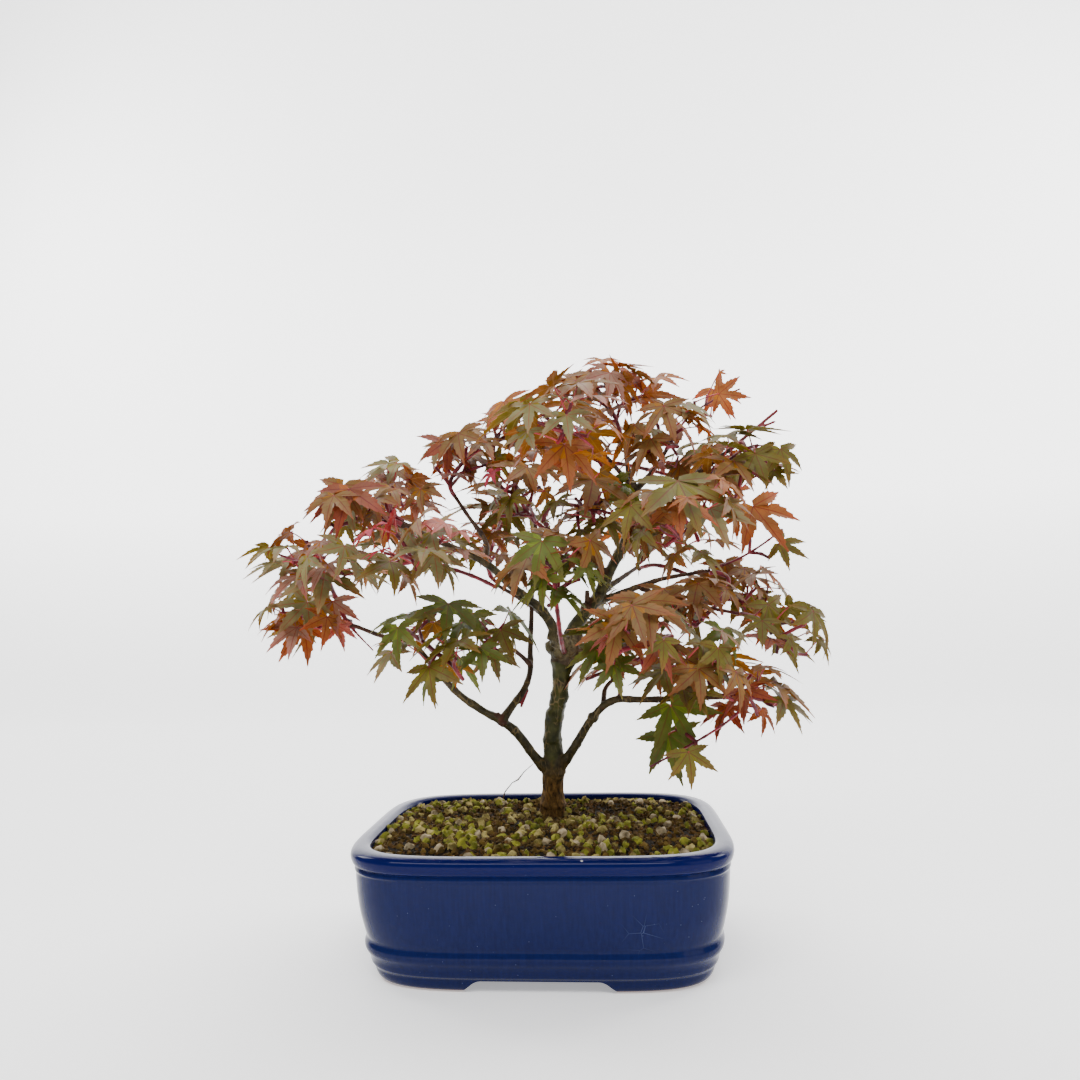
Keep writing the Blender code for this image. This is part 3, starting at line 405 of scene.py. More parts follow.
strew = scatter_tree()
crumbs = grain_shapes("clay_crumbs", 1, 0.7, 1)
broken = grain_shapes("broken_stones", 2, 0.55, 2)
rubbed = grain_shapes("rubbed_stones", 2, 0.35, 3)
# Each kind: shapes, its spacing, smallest and largest size and depth sunk in mm, its bare patches,
# and its finish, dark and light colour and the size in mm of their blotches.
KINDS = {
    "clay_crumbs": (crumbs, 1.85, 2.0, 3.9, 0.2, 0.0, ("baked_clay_crumb", "#160e04", "#543b18", 4)),
    "akadama_grains": (broken, 3.7, 3.0, 4.8, 0.2, 0.15, ("baked_clay_grain", "#1e1506", "#604c20", 6)),
    "mossy_grains": (broken, 6.0, 3.8, 6.6, -0.3, 0.42, ("algae_on_stone", "#34380a", "#86842e", 5)),
    "pale_stones": (broken, 8.5, 3.8, 6.8, -0.2, 0.34, ("algae_on_pale_stone", "#4a4016", "#a0925a", 5)),
    "pumice_stones": (rubbed, 13.5, 5.0, 8.2, 0.0, 0.30, ("pumice", "#4a402a", "#a69678", 4)),
}
for seed, (name, kind) in enumerate(KINDS.items(), start=1):
    shapes, spacing, smallest, largest, sunk, patches, finish = kind
    bed = soil_bed(name, sunk * MM)
    strewn = bed.modifiers.new("strew", "NODES")
    strewn.node_group = strew
    set_inputs(
        strewn, Shapes=shapes, Material=grain_material(*finish), Seed=seed, Spacing=spacing * MM,
        Smallest=smallest * MM, Largest=largest * MM, Bare_Patches=patches)
    grains = evaluated(bed)
    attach(grains, "root")


def new_strands(name, resolution):
    """A curve object's data for round strands, with a radius in metres at each point."""
    curve = bpy.data.curves.new(name, "CURVE")
    curve.dimensions = "3D"
    curve.bevel_depth = 1.0
    curve.bevel_resolution = resolution
    curve.use_fill_caps = True
    return curve


def add_strand(curve, path, radii):
    strand = curve.splines.new("POLY")
    strand.points.add(len(path) - 1)
    for point, spot, radius in zip(strand.points, path, radii):
        point.co = (*spot, 1.0)
        point.radius = radius


# A thin dead stem, brown and dull, that stands behind the tree.
dry_lines = new_strands("dry_stem", 2)
add_strand(dry_lines, [Vector(spot) * MM for spot, _ in DRY_STEM], [radius * MM for _, radius in DRY_STEM])
dry_stem = evaluated(add_object("dry_stem", dry_lines))
straw, tree, shader, place = new_material("dead_grass_stem", 0.85)
fibres = add_node(tree, "ShaderNodeTexNoise", {"Vector": place, "Scale": grain(1.2), "Detail": 3.0})
tone = add_node(tree, "ShaderNodeValToRGB", {"Fac": fibres}, stops=((0, "#2c1d10"), (1, "#6e5636")))
feed(tree, shader, {"Base Color": tone})
coat(dry_stem, straw)
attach(dry_stem, "root")


# ================================================================ trunk and boughs
# The living wood: a smooth olive green stem on a rough tan foot, with a callus where the leader was
# once cut back, a ring scar and some cut or dead snags. The thin boughs are brown to maroon, with a
# slight swelling at each pair of old leaf scars. All of it is one skin of bark.
GAP = 0.3 * MM
GROUND = SOIL_LEVEL + GAP
LIMB_STEP = 16 * MM
LIMB_TAPER = 0.8
LIMB_CORNERS = 20  # twice as many round the trunk
SNAG_CORNERS = 14
BARK_STEP = 1.6 * MM
SNAG_STEP = 1.5 * MM
BARK_GRID = 0.62 * MM
FIRST_SCARS = (9, 15)  # mm from a limb's foot to its first pair of old leaf scars
SCARS_APART = (11, 20)  # mm from one pair to the next
LONGEST_LIMB = 400  # mm
SCAR_SWELL = (0.16, 1.3)  # extra radius as a part of the radius, and half length in mm
FOOT_FLARE = (0.30, 5)  # the same at a bough's foot, where it leaves its parent
# Each limb: the limb it grows from, radius in mm at its foot and at its tip, and the points in mm
# that its middle line runs through, from inside its parent to its tip.
LIMBS = {
    "trunk": (None, 5.6, 5.1, [
        (1, 30, 54), (3, 27, 76), (4, 25, 92), (4, 23, 113), (9, 21, 133), (11, 22, 152),
        (16, 24, 167)]),
    "leader": ("trunk", 4.6, 2.4, [
        (14, 23, 160), (20, 26, 175), (33, 28, 191), (42, 30, 208), (54, 32, 231), (59, 31, 252),
        (57, 30, 263)]),
    "left_low": ("trunk", 3.3, 1.6, [
        (4, 26, 84), (-6, 20, 96), (-19, 11, 115), (-37, 1, 128), (-51, -5, 140), (-74, -14, 169)]),
    "right_low": ("trunk", 3.2, 1.3, [
        (4, 26, 84), (16, 19, 101), (29, 11, 121), (41, 5, 131), (61, -4, 132), (102, -16, 134)]),
    "left_mid": ("trunk", 3.5, 1.4, [
        (12, 22, 158), (2, 10, 182), (-17, 0, 199), (-32, -7, 213), (-61, -18, 227), (-77, -23, 236)]),
    "mid_right": ("trunk", 1.9, 1.1, [(11, 22, 155), (28, 9, 161), (47, -6, 163), (67, -22, 166)]),
    "back_left": ("trunk", 2.6, 1.3, [(12, 23, 156), (2, 43, 178), (-16, 58, 192), (-34, 66, 203)]),
    "back_low": ("trunk", 1.9, 1.1, [(10, 21, 140), (19, 42, 153), (32, 62, 164)]),
    "far_left": ("left_low", 1.6, 1.1, [(-73, -14, 167), (-90, -12, 171), (-112, -7, 179)]),
    "upright_left": ("left_low", 2.2, 0.9, [
        (-24, 7, 121), (-10, 19, 142), (-9, 32, 166), (-7, 37, 210), (-6, 40, 246), (-28, 34, 283)]),
    "low_centre": ("upright_left", 1.4, 1.0, [(-9, 24, 152), (-16, 20, 159), (-24, 15, 165)]),
    "right_low_up": ("right_low", 1.6, 1.0, [(35, 8, 127), (38, 17, 139), (57, 30, 151)]),
    "left_front": ("left_mid", 1.6, 1.0, [(-43, -11, 219), (-48, -22, 219), (-53, -31, 215)]),
    "left_up": ("left_mid", 1.9, 1.1, [(-31, -7, 212), (-32, 1, 226), (-43, 9, 242), (-53, 14, 257)]),
    "right": ("leader", 2.3, 1.1, [(31, 28, 188), (45, 32, 193), (73, 36, 202), (105, 38, 207)]),
    "right_outer": ("right", 1.5, 1.0, [(61, 35, 197), (76, 24, 190), (96, 13, 184), (117, 4, 179)]),
    "inner": ("leader", 1.9, 1.0, [(41, 30, 206), (24, 23, 219), (3, 20, 236)]),
    "back_right": ("leader", 2.4, 1.2, [(34, 28, 193), (46, 46, 202), (62, 70, 213)]),
    "right_up": ("leader", 2.9, 1.2, [(58, 32, 243), (76, 21, 254), (95, 9, 263), (115, -1, 276)]),
    "right_front": ("right_up", 1.4, 1.0, [(89, 12, 259), (91, 0, 252), (91, -14, 243)]),
    "back_top": ("leader", 2.0, 1.1, [(58, 32, 249), (50, 50, 266), (42, 68, 280)]),
    "top_left": ("leader", 2.0, 1.0, [(58, 31, 260), (48, 18, 270), (38, 2, 279)]),
    "top_mid": ("leader", 2.0, 1.1, [(57, 30, 262), (55, 37, 278), (54, 40, 292)]),
    "top_right": ("leader", 2.2, 1.1, [(58, 31, 257), (72, 35, 272), (89, 39, 298)]),
}
# Height in mm, extra radius in mm and half length in mm of the swellings on the trunk:
# root flare, crotch of the two low boughs, old pruning callus at the fork.
TRUNK_SWELLS = [(61, 2.2, 14), (89, 1.6, 9), (160, 3.6, 9)]
# Snags: foot and tip in mm, radius at each. Lumps: middle and half sizes in mm.
SNAGS = [
    ((1, 10, 182), (-1, 12, 195), 1.9, 1.3),
    ((27, 27, 184), (27.5, 24.5, 196), 1.9, 1.4),
    ((-10, 18, 137), (-14, 13, 127), 1.1, 0.8),
    ((-24, 7, 119), (-27, 5, 125), 1.5, 1.2),
    ((-75, -22, 233), (-99, -27, 242), 1.3, 1.1),
    ((44, 5, 131), (46, 1, 161), 0.9, 0.7),
    ((114, 0, 275), (129, -2, 287), 1.2, 1.0),
    ((128, -2, 286), (142, -3, 297), 1.0, 0.9),
    ((128, -2, 286), (140, -5, 290), 0.9, 0.8),
    ((-112, -7, 178), (-96, -12, 163), 0.8, 0.6),
]
LUMPS = [
    ((12, 15, 165), (7.5, 5.0, 4.6)), ((17, 14.5, 161), (5.2, 4.4, 4.0)),
    ((7, 15.5, 169), (4.6, 4.2, 4.4)), ((20, 19, 167), (4.4, 4.6, 4.6)),
    ((9, 14.5, 158), (3.6, 3.4, 3.0)), ((4, 21, 162), (3.6, 4.4, 4.2)),
    ((26, 24.5, 185), (3.6, 3.2, 3.6)), ((34, 26.5, 191.5), (3.4, 3.2, 3.2)),
    ((-24, 7, 119.5), (3.4, 3.0, 3.2)), ((29, 10.5, 121), (3.6, 3.0, 3.2)),
    ((57, 29.5, 262.5), (3.4, 3.2, 3.0)), ((-74, -14, 169), (2.4, 2.2, 2.2)),
    ((-6, 40, 246), (1.9, 1.9, 1.9)), ((-32, -7, 213), (2.5, 2.4, 2.3)),
    ((6, 23.5, 140), (1.6, 2.0, 1.6)),
]
CALLUS = Vector((13, 17, 164)) * MM
CALLUS_REACH = 13 * MM
CORK = (66, 26)  # mm: the height up to which the foot is all cork, and how far above that none is left
RING_SCAR = (127, 0.12, 8)  # height in mm above x = 8 mm, and its slope
RING_CUT = (0.55, 0.8)  # depth and half width in mm
TRUNK_GIRTH = 5  # mm: only the trunk is thicker
# Relief of the bark: depth and size of its lumps, all in mm, but for sound bark the depth is a part
# of the limb's radius.
SOUND_RELIEF = (0.02, 1.4)
CORKY_RELIEF = (0.75, 1.9)
CALLUS_RELIEF = (1.1, 2.6)


def limb_radii(name, path):
    _, foot, tip, _ = LIMBS[name]
    radii = []
    for k, spot in enumerate(path):
        radius = foot + (tip - foot) * (k / (len(path) - 1)) ** LIMB_TAPER
        if name == "trunk":
            for height, extra, half_length in TRUNK_SWELLS:
                radius += extra * math.exp(-((spot.z / MM - height) / half_length) ** 2)
        radii.append(radius * MM)
    return radii


def limb_path(name, step):
    return through([Vector(point) * MM for point in LIMBS[name][3]], step)


PATHS = {name: limb_path(name, LIMB_STEP / 2 if name == "trunk" else LIMB_STEP) for name in LIMBS}
RADII = {name: limb_radii(name, path) for name, path in PATHS.items()}


def add_tube(work, path, radii, corners, wobble=0.0, drift=0.0):
    """A closed tube in a bmesh, its rings square to the path and slightly out of round."""
    across = (path[1] - path[0]).orthogonal().normalized()
    rings = []
    for k, (spot, radius) in enumerate(zip(path, radii)):
        along = (path[min(k + 1, len(path) - 1)] - path[max(k - 1, 0)]).normalized()
        across = (across - along * across.dot(along)).normalized()
        square = along.cross(across)
        ring = []
        for j in range(corners):
            turn = math.tau * j / corners
            out = across * math.cos(turn) + square * math.sin(turn)
            bulge = 1 + wobble * noise.noise(out * 1.3 + spot / (9 * MM) + Vector((drift, 0, 0)))
            ring.append(work.verts.new(spot + out * radius * bulge))
        rings.append(ring)
    for low, high in zip(rings, rings[1:]):
        for j in range(corners):
            i = (j + 1) % corners
            work.faces.new((low[j], low[i], high[i], high[j]))
    work.faces.new(reversed(rings[0]))
    work.faces.new(rings[-1])


def natural_radii(name, path):
    """Radii with a flare at the foot and the small swellings where leaf pairs once stood."""
    dice = random.Random(name + " nodes")
    foot = LIMBS[name][1]
    plain = limb_radii(name, path)
    nodes = []
    at = dice.uniform(*FIRST_SCARS)
    while at < LONGEST_LIMB:
        nodes.append(at)
        at += dice.uniform(*SCARS_APART)
    swell, half_length = SCAR_SWELL
    flare, flare_length = FOOT_FLARE
    radii = []
    length = 0.0
    for k, radius in enumerate(plain):
        if k:
            length += (path[k] - path[k - 1]).length / MM
        radius += swell * radius * sum(math.exp(-((length - node) / half_length) ** 2) for node in nodes)
        if name != "trunk":
            radius += flare * foot * MM * math.exp(-max(0.0, length - foot) / flare_length)
        radii.append(radius)
    return radii


work = bmesh.new()
for number, name in enumerate(LIMBS):
    path = limb_path(name, BARK_STEP)
    corners = LIMB_CORNERS * (2 if name == "trunk" else 1)
    add_tube(work, path, natural_radii(name, path), corners, wobble=0.16, drift=number * 3.7)
for number, (foot, tip, thick, thin) in enumerate(SNAGS):
    middle = Vector(foot) * 0.5 + Vector(tip) * 0.5
    path = through([Vector(foot) * MM, middle * MM, Vector(tip) * MM], SNAG_STEP)
    radii = [(thick + (thin - thick) * k / (len(path) - 1)) * MM for k in range(len(path))]
    add_tube(work, path, radii, SNAG_CORNERS, wobble=0.3, drift=90 + number)
for number, (middle, halves) in enumerate(LUMPS):
    lump = bmesh.ops.create_icosphere(work, subdivisions=3, radius=1.0)["verts"]
    for corner in lump:
        bumpy = 1 + 0.28 * noise.noise(corner.co * 1.9 + Vector((number * 5.0, 0, 0)))
        corner.co = Vector([(m + c * h * bumpy) * MM for m, c, h in zip(middle, corner.co, halves)])
bmesh.ops.recalc_face_normals(work, faces=work.faces)
wood = add_object("maple_wood", mesh_from(work, "maple_wood"))
skin = wood.modifiers.new("one_skin", "REMESH")
skin.mode = "VOXEL"
skin.voxel_size = BARK_GRID
soften = wood.modifiers.new("soften", "SMOOTH")
soften.factor = 0.5
soften.iterations = 3
wood = evaluated(wood)

# Measures that the bark's colours follow: the limb's radius in mm at each place, and how much of
# the place is callus. The relief is cut deeper where the bark is old.
lines = [(spot, radius) for name in LIMBS for spot, radius in zip(
    limb_path(name, 3 * MM), limb_radii(name, limb_path(name, 3 * MM)))]
for foot, tip, thick, thin in SNAGS:
    lines += [(Vector(foot).lerp(Vector(tip), part) * MM, thin * MM) for part in (0.2, 0.4, 0.6, 0.8, 1.0)]
nearest = KDTree(len(lines))
for k, (spot, _) in enumerate(lines):
    nearest.insert(spot, k)
nearest.balance()
work = bmesh.new()
work.from_mesh(wood.data)
cut = bmesh.ops.bisect_plane(
    work, geom=work.verts[:] + work.edges[:] + work.faces[:], plane_co=(0, 0, GROUND - 2 * MM),
    plane_no=(0, 0, 1), clear_inner=True)
rim = [part for part in cut["geom_cut"] if isinstance(part, bmesh.types.BMEdge)]
bmesh.ops.contextual_create(work, geom=rim)
work.normal_update()
girth_layer = work.verts.layers.float.new("girth")
callus_layer = work.verts.layers.float.new("callus")
for corner in work.verts:
    spot = corner.co.copy()
    girth = lines[nearest.find(spot)[1]][1] / MM
    scar = max(0.0, 1 - (spot - CALLUS).length / CALLUS_REACH)
    old = min(1.0, max(0.0, 1 - (spot.z / MM - CORK[0]) / CORK[1]))
    tall = Vector((spot.x, spot.y, spot.z * 0.35)) / (CORKY_RELIEF[1] * MM)
    relief = SOUND_RELIEF[0] * min(girth, TRUNK_GIRTH) * noise.noise(spot / (SOUND_RELIEF[1] * MM))
    relief += old * CORKY_RELIEF[0] * (abs(noise.noise(tall)) - 0.25)
    relief += scar * CALLUS_RELIEF[0] * noise.noise(spot / (CALLUS_RELIEF[1] * MM))
    ring = spot.z / MM - RING_SCAR[0] - RING_SCAR[1] * (spot.x / MM - RING_SCAR[2])
    if girth > TRUNK_GIRTH:
        relief -= RING_CUT[0] * math.exp(-(ring / RING_CUT[1]) ** 2)
    corner.co = spot + corner.normal * (relief * MM)
    corner[girth_layer] = girth
    corner[callus_layer] = scar
work.to_mesh(wood.data)
work.free()
wood.data.shade_smooth()

# Maple bark: thin and waxy where it is young, so the green under it shows. It splits in short tan
# cracks as it thickens, and is corky and dull on the old foot. The cracks are about 0.4 mm wide.
bark, tree, shader, place = new_material("maple_bark", 0.6, 0.2)
girth = add_node(tree, "ShaderNodeAttribute", attribute_name="girth").outputs["Fac"]
callus = add_node(tree, "ShaderNodeAttribute", attribute_name="callus").outputs["Fac"]
height = add_node(tree, "ShaderNodeSeparateXYZ", {"Vector": place}).outputs["Z"]
mottle = add_node(tree, "ShaderNodeTexNoise", {"Vector": place, "Scale": grain(5), "Detail": 5.0})
stem_green = add_node(
    tree, "ShaderNodeValToRGB", {"Fac": mottle}, stops=((0.30, "#181b02"), (0.72, "#424118")))
olive = add_node(
    tree, "ShaderNodeValToRGB", {"Fac": mottle}, stops=((0.32, "#1c1809"), (0.70, "#453c22")))
maroon = add_node(
    tree, "ShaderNodeValToRGB", {"Fac": mottle}, stops=((0.32, "#2c160e"), (0.70, "#50301f")))
thicker = add_node(tree, "ShaderNodeMapRange", {"Value": girth, "From Min": 1.2, "From Max": 2.2})
young_part = add_node(tree, "ShaderNodeMapRange", {
    "Value": girth, "From Min": 1.15, "From Max": 0.85, "To Max": 0.9})
reddened = add_node(tree, "ShaderNodeMix", {
    "Factor": young_part, "A": maroon, "B": "#6e1a24"}, data_type="RGBA")
thin_wood = add_node(tree, "ShaderNodeMix", {
    "Factor": thicker, "A": reddened, "B": olive}, data_type="RGBA")
thickest = add_node(tree, "ShaderNodeMapRange", {"Value": girth, "From Min": 2.8, "From Max": 4.6})
sound = add_node(tree, "ShaderNodeMix", {
    "Factor": thickest, "A": thin_wood, "B": stem_green}, data_type="RGBA")
upright = add_node(tree, "ShaderNodeMapping", {"Vector": place, "Scale": (1.0, 1.0, 0.45)})
cells = add_node(tree, "ShaderNodeTexVoronoi", {
    "Vector": upright, "Scale": grain(3.4)}, feature="DISTANCE_TO_EDGE")
crack = add_node(tree, "ShaderNodeMapRange", {
    "Value": cells, "From Min": 0.10, "From Max": 0.02, "To Max": 0.75})
patch = add_node(tree, "ShaderNodeTexNoise", {"Vector": place, "Scale": grain(9), "Detail": 3.0})
dry_bark = add_node(tree, "ShaderNodeMapRange", {"Value": patch, "From Min": 0.47, "From Max": 0.60})
open_cracks = add_node(tree, "ShaderNodeMath", {0: crack, 1: dry_bark}, operation="MULTIPLY")
on_old = add_node(tree, "ShaderNodeMath", {0: open_cracks, 1: thicker}, operation="MULTIPLY")
cracked = add_node(tree, "ShaderNodeMix", {
    "Factor": on_old, "A": sound, "B": "#6e5c38"}, data_type="RGBA")
cork_noise = add_node(tree, "ShaderNodeTexNoise", {
    "Vector": upright, "Scale": grain(2.2), "Detail": 6.0, "Roughness": 0.65})
cork = add_node(
    tree, "ShaderNodeValToRGB", {"Fac": cork_noise}, stops=((0.36, "#241404"), (0.68, "#7a5c30")))
uneven = add_node(tree, "ShaderNodeMath", {0: patch, 1: 22 * MM, 2: height}, operation="MULTIPLY_ADD")
foot_part = add_node(tree, "ShaderNodeMapRange", {
    "Value": uneven, "From Min": 104 * MM, "From Max": 94 * MM})
footed = add_node(tree, "ShaderNodeMix", {"Factor": foot_part, "A": cracked, "B": cork}, data_type="RGBA")
lichen = add_node(
    tree, "ShaderNodeValToRGB", {"Fac": cork_noise}, stops=((0.38, "#2a1f0c"), (0.62, "#6a5f42")))
scarred = add_node(tree, "ShaderNodeMapRange", {"Value": callus, "From Min": 0.1, "From Max": 0.45})
healed = add_node(tree, "ShaderNodeMix", {"Factor": scarred, "A": footed, "B": lichen}, data_type="RGBA")
gloss = add_node(tree, "ShaderNodeMapRange", {"Value": foot_part, "To Min": 0.5, "To Max": 0.92})
fine = add_node(tree, "ShaderNodeTexNoise", {"Vector": place, "Scale": grain(1.1), "Detail": 5.0})
depth = add_node(tree, "ShaderNodeMath", {0: on_old, 1: 0.6, 2: fine}, operation="MULTIPLY_ADD")
bump = add_node(tree, "ShaderNodeBump", {"Height": depth, "Strength": 0.6, "Distance": 0.35 * MM})
feed(tree, shader, {"Base Color": healed, "Roughness": gloss, "Normal": bump})
coat(wood, bark)
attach(wood, "root")
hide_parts("trunk", *[f"bough_{name}" for name in LIMBS if name != "trunk"])


# ================================================================ twigs
# Young wood of the last two seasons, smooth and maroon, in opposite pairs from the ends of the
# boughs, a little thicker at each joint, where its buds sit. The leaf stalks are thin and bright red.

# Each mass: the limb at whose tip its stem starts, the middle and half sizes of its space in mm,
# how many leaves it may have, and the seed of its growth.
MASSES = {
    "far_left_low": ("far_left", (-130, -12, 181), (38, 37, 27), 8, 1),
    "far_left_up": ("far_left", (-116, -38, 208), (43, 35, 28), 9, 1),
    "left_low": ("left_low", (-52, -40, 160), (36, 33, 31), 8, 1),
    "low_centre": ("low_centre", (-26, 2, 165), (28, 30, 25), 6, 1),
    "left_shoulder": ("left_mid", (-95, -33, 234), (36, 34, 26), 8, 1),
    "left_peak": ("left_mid", (-82, 6, 254), (33, 36, 24), 7, 1),
    "left_inner": ("left_front", (-60, -62, 213), (38, 33, 25), 8, 1),
    "arch": ("left_up", (-43, 12, 275), (36, 38, 26), 8, 1),
    "arch_top": ("upright_left", (-10, 24, 293), (35, 38, 29), 8, 1),
    "centre_up": ("inner", (-8, -2, 250), (34, 34, 26), 7, 1),
    "centre_mid": ("inner", (26, -10, 238), (36, 34, 30), 7, 1),
    "crest": ("top_mid", (42, 14, 309), (48, 40, 28), 11, 1),
    "top_front": ("top_left", (22, -67, 272), (40, 36, 30), 8, 1),
    "top_right": ("top_mid", (76, 0, 280), (34, 34, 28), 8, 1),
    "sprig": ("top_right", (118, 36, 316), (30, 25, 20), 3, 1),
    "right_up": ("back_top", (98, 48, 264), (37, 36, 29), 7, 1),
    "right_up_outer": ("right_up", (115, -12, 258), (34, 34, 28), 8, 1),
    "right_centre": ("right_front", (78, -62, 222), (38, 33, 30), 8, 1),
    "right_wisp": ("right", (136, 26, 224), (31, 29, 24), 3, 1),
    "right_mid": ("right", (96, 20, 182), (38, 38, 24), 9, 1),
    "right_mid_outer": ("right_outer", (134, -4, 165), (36, 33, 26), 8, 1),
    "right_low_in": ("mid_right", (50, -64, 164), (34, 31, 30), 8, 1),
    "right_low": ("mid_right", (84, -38, 148), (35, 34, 30), 8, 1),
    "right_low_outer": ("right_low", (117, -14, 132), (34, 31, 27), 7, 1),
    "low_star": ("right_low", (70, -28, 108), (32, 30, 32), 3, 1),
    "trunk_right": ("right_low_up", (36, 30, 145), (27, 27, 22), 5, 1),
    "centre_front": ("trunk", (12, -54, 197), (34, 32, 32), 8, 1),
    "back_low": ("back_low", (42, 66, 172), (37, 32, 27), 6, 1),
    "back_left": ("back_left", (-30, 62, 232), (42, 38, 33), 7, 1),
    "back_left_far": ("back_left", (-90, 50, 220), (40, 36, 29), 7, 1),
    "back_right": ("back_right", (74, 66, 230), (42, 36, 35), 7, 1),
    "back_right_far": ("back_right", (120, 54, 188), (38, 36, 29), 7, 1),
    "back_top": ("back_top", (30, 62, 292), (46, 38, 32), 7, 1),
}

UP = Vector((0, 0, 1))
FRONT = Vector((0, -1, 0))
CROWN_AXIS = Vector((10 * MM, 25 * MM, 0))  # the leaves turn outwards from this upright line
# The solids' own box, less a hair: no leaf or stalk grows past it.
EDGE = 0.4 * MM
BOXES = np.array([[list(corner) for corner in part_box(node)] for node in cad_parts])
REACH = np.array([BOXES[:, 0].min(axis=0) + EDGE, BOXES[:, 1].max(axis=0) - EDGE])
SPACE_MARGIN = 0.02  # between two masses' spaces, as a part of their half sizes
TOUCH_MARGIN = 0.7 * MM  # between a leaf and a limb

STEM_RADIUS = (1.4 * MM, 1.1 * MM)  # at the foot and at the tip
STEM_PIECES = 4  # straight pieces in the arc of a stem
STEM_STRAIGHT = 2.5 * MM  # its first piece, square to its bough's end
STEM_LEAD = 0.35  # how far it bends on in its bough's direction, as a part of its length
STEM_REACH = 0.45  # how far it runs past the middle of its space, as a part of the room there
STEM_APART = 1.25  # of two stems on one tip: how far each starts aside, in stem radii
STEM_NODES = 4  # places with a pair of twigs
STEM_TRIES = 60
STEM_WANDER = 0.015  # sideways step at each new try, as a part of its length

TWIG_RADIUS = (1.1 * MM, 0.9 * MM)
TWIG_REACH = (0.45, 0.75)  # length as a part of the room in its direction
TWIG_HEADING = (0.85, 0.5, 0.1)  # parts of the way out of the stem, along it and up
TWIG_LIFT = 0.08  # how much its tip is raised, as a part of its length
TWIG_NODE = 0.55  # place of its second pair of leaves, as a part of its length
SHORTEST_TWIG = 7 * MM
ROOTED = 1 * MM  # how far inside the end of a twig its last stalks start

PETIOLE_RADIUS = 0.42 * MM
PETIOLE_LENGTH = (10 * MM, 19 * MM)
PETIOLE_LIFT = 0.12
STALK_LEAN = 0.35  # a stalk comes to its leaf from below, with at least this part of it upright
LEAF_SIZE = (21 * MM, 31 * MM)  # middle lobe, from the top of the leaf stalk to the tip
LEAF_SPACING = 11 * MM  # least distance between the middles of two leaves
LEAF_DROOP = (12, 68)  # degrees below level
LEAF_ROLL = 24  # degrees either way
LEAF_STRAY = 0.35  # how far its stalk may lean astray
# Parts of the way out of the crown, along the stalk, to the front and astray in a leaf's bearing.
LEAF_BEARING = (0.5, 0.6, 0.35, 0.6)
LEAF_TRIES = 24  # a leaf that doesn't fit is turned this many times before it is left out
LEAF_SHRINK = 0.02  # how much smaller it is at each new try
# Angle in degrees from the middle line, radius and sag of the lobe tips and of the notches
# between them, as parts of the leaf's size, on one side of the leaf.
LOBE_TIPS = [(0, 1.0, 0.20), (43, 0.92, 0.22), (92, 0.64, 0.20)]
LOBE_NOTCHES = [(22, 0.40, 0.04), (67, 0.35, 0.05)]
LEAF_REAR = (180, 0.12, 0.02)
# Finer growth between the first leaves: side twigs and smaller leaves that fill the same space.
SIDE_TWIG_LENGTH = (8 * MM, 15 * MM)
SIDE_TWIG_RADIUS = (0.75 * MM, 0.55 * MM)
SIDE_TWIG_PLACES = (0.34, 0.72)  # parts of a twig's length
FILL_SIZE = (18 * MM, 28 * MM)
FILL_SPACING = 9 * MM
FILL_TRIES = 14
FILL_SHARE = 1.15  # extra leaves for each first leaf
STEM_LEAF_HEADING = (0.8, 0.4)  # parts of the way out of the stem and along it
PAIR_HEADING = (0.7, 0.6)  # the same, for the last pair of leaves on a twig
SIDE_TWIG_HEADING = (0.8, 0.55, 0.1)  # parts of the way out of its twig, along it and up
LONE = ("low_star", "right_wisp", "sprig")  # sprays of a few leaves, with nothing between them
LONE_RADIUS = (0.8 * MM, 0.55 * MM)  # of their stems, which are young wood
STEM_ROOT = 1.6  # mm that a stem runs into its bough
STEM_STEP = 2.2 * MM
TWIG_STEP = 1.8 * MM
TWIG_WANDER = 0.9  # mm that a twig's middle may bend aside
BUDS_EVERY = 5  # steps from one joint with buds to the next
BUD_SWELL = 1.22
PETIOLE_ARC = 0.07  # how far a stalk's middle is raised, as a part of its length
PETIOLE_FULL = 24 * MM  # a leaf of this size has a stalk of full thickness
PETIOLE_SWELLS = (1.5, 1, 1, 1, 1, 1.25)  # thickness along a stalk, from its foot to its leaf
PETIOLE_INSET = 0.1  # mm that its end stops below its leaf

NAMES = list(MASSES)
CENTRES = np.array([MASSES[name][1] for name in NAMES]) * MM
HALVES = np.array([MASSES[name][2] for name in NAMES]) * MM


def segments_of(paths):
    """Starts, ends and radii of the straight pieces of some (path, radii) pairs, as arrays."""
    starts = [place for path, _ in paths for place in path[:-1]]
    ends = [place for path, _ in paths for place in path[1:]]
    thick = [max(pair) for _, radii in paths for pair in zip(radii, radii[1:])]
    return np.array(starts), np.array(ends), np.array(thick)


def clearance(points, segments):
    """The least distance from the points to the surface of the round pieces."""
    starts, ends, thick = segments
    line = ends - starts
    span = (line ** 2).sum(1)
    offset = points[:, None, :] - starts[None, :, :]
    part = np.clip((offset * line).sum(2) / span, 0, 1)
    nearest = starts + part[:, :, None] * line
    return float((np.linalg.norm(points[:, None, :] - nearest, axis=2) - thick).min())


def in_own_space(index, points):
    """Whether all the points lie in the mass's ellipsoid and nearer to its middle than to others'."""
    far = np.linalg.norm((points[:, None, :] - CENTRES) / HALVES, axis=2)
    own = far[:, index].copy()
    far[:, index] = 9.0  # the mass itself is left out of the comparison
    return bool((own < 1).all() and (far.min(axis=1) - own > SPACE_MARGIN).all())


def room(index, place, direction):
    """The way from a place in a mass's ellipsoid along a direction to its surface."""
    a = (np.array(place) - CENTRES[index]) / HALVES[index]
    b = np.array(direction) / HALVES[index]
    bb = float(b @ b)
    ab = float(a @ b)
    root = ab * ab - bb * (float(a @ a) - 1)
    return 0.0 if root <= 0 else (-ab + math.sqrt(root)) / bb


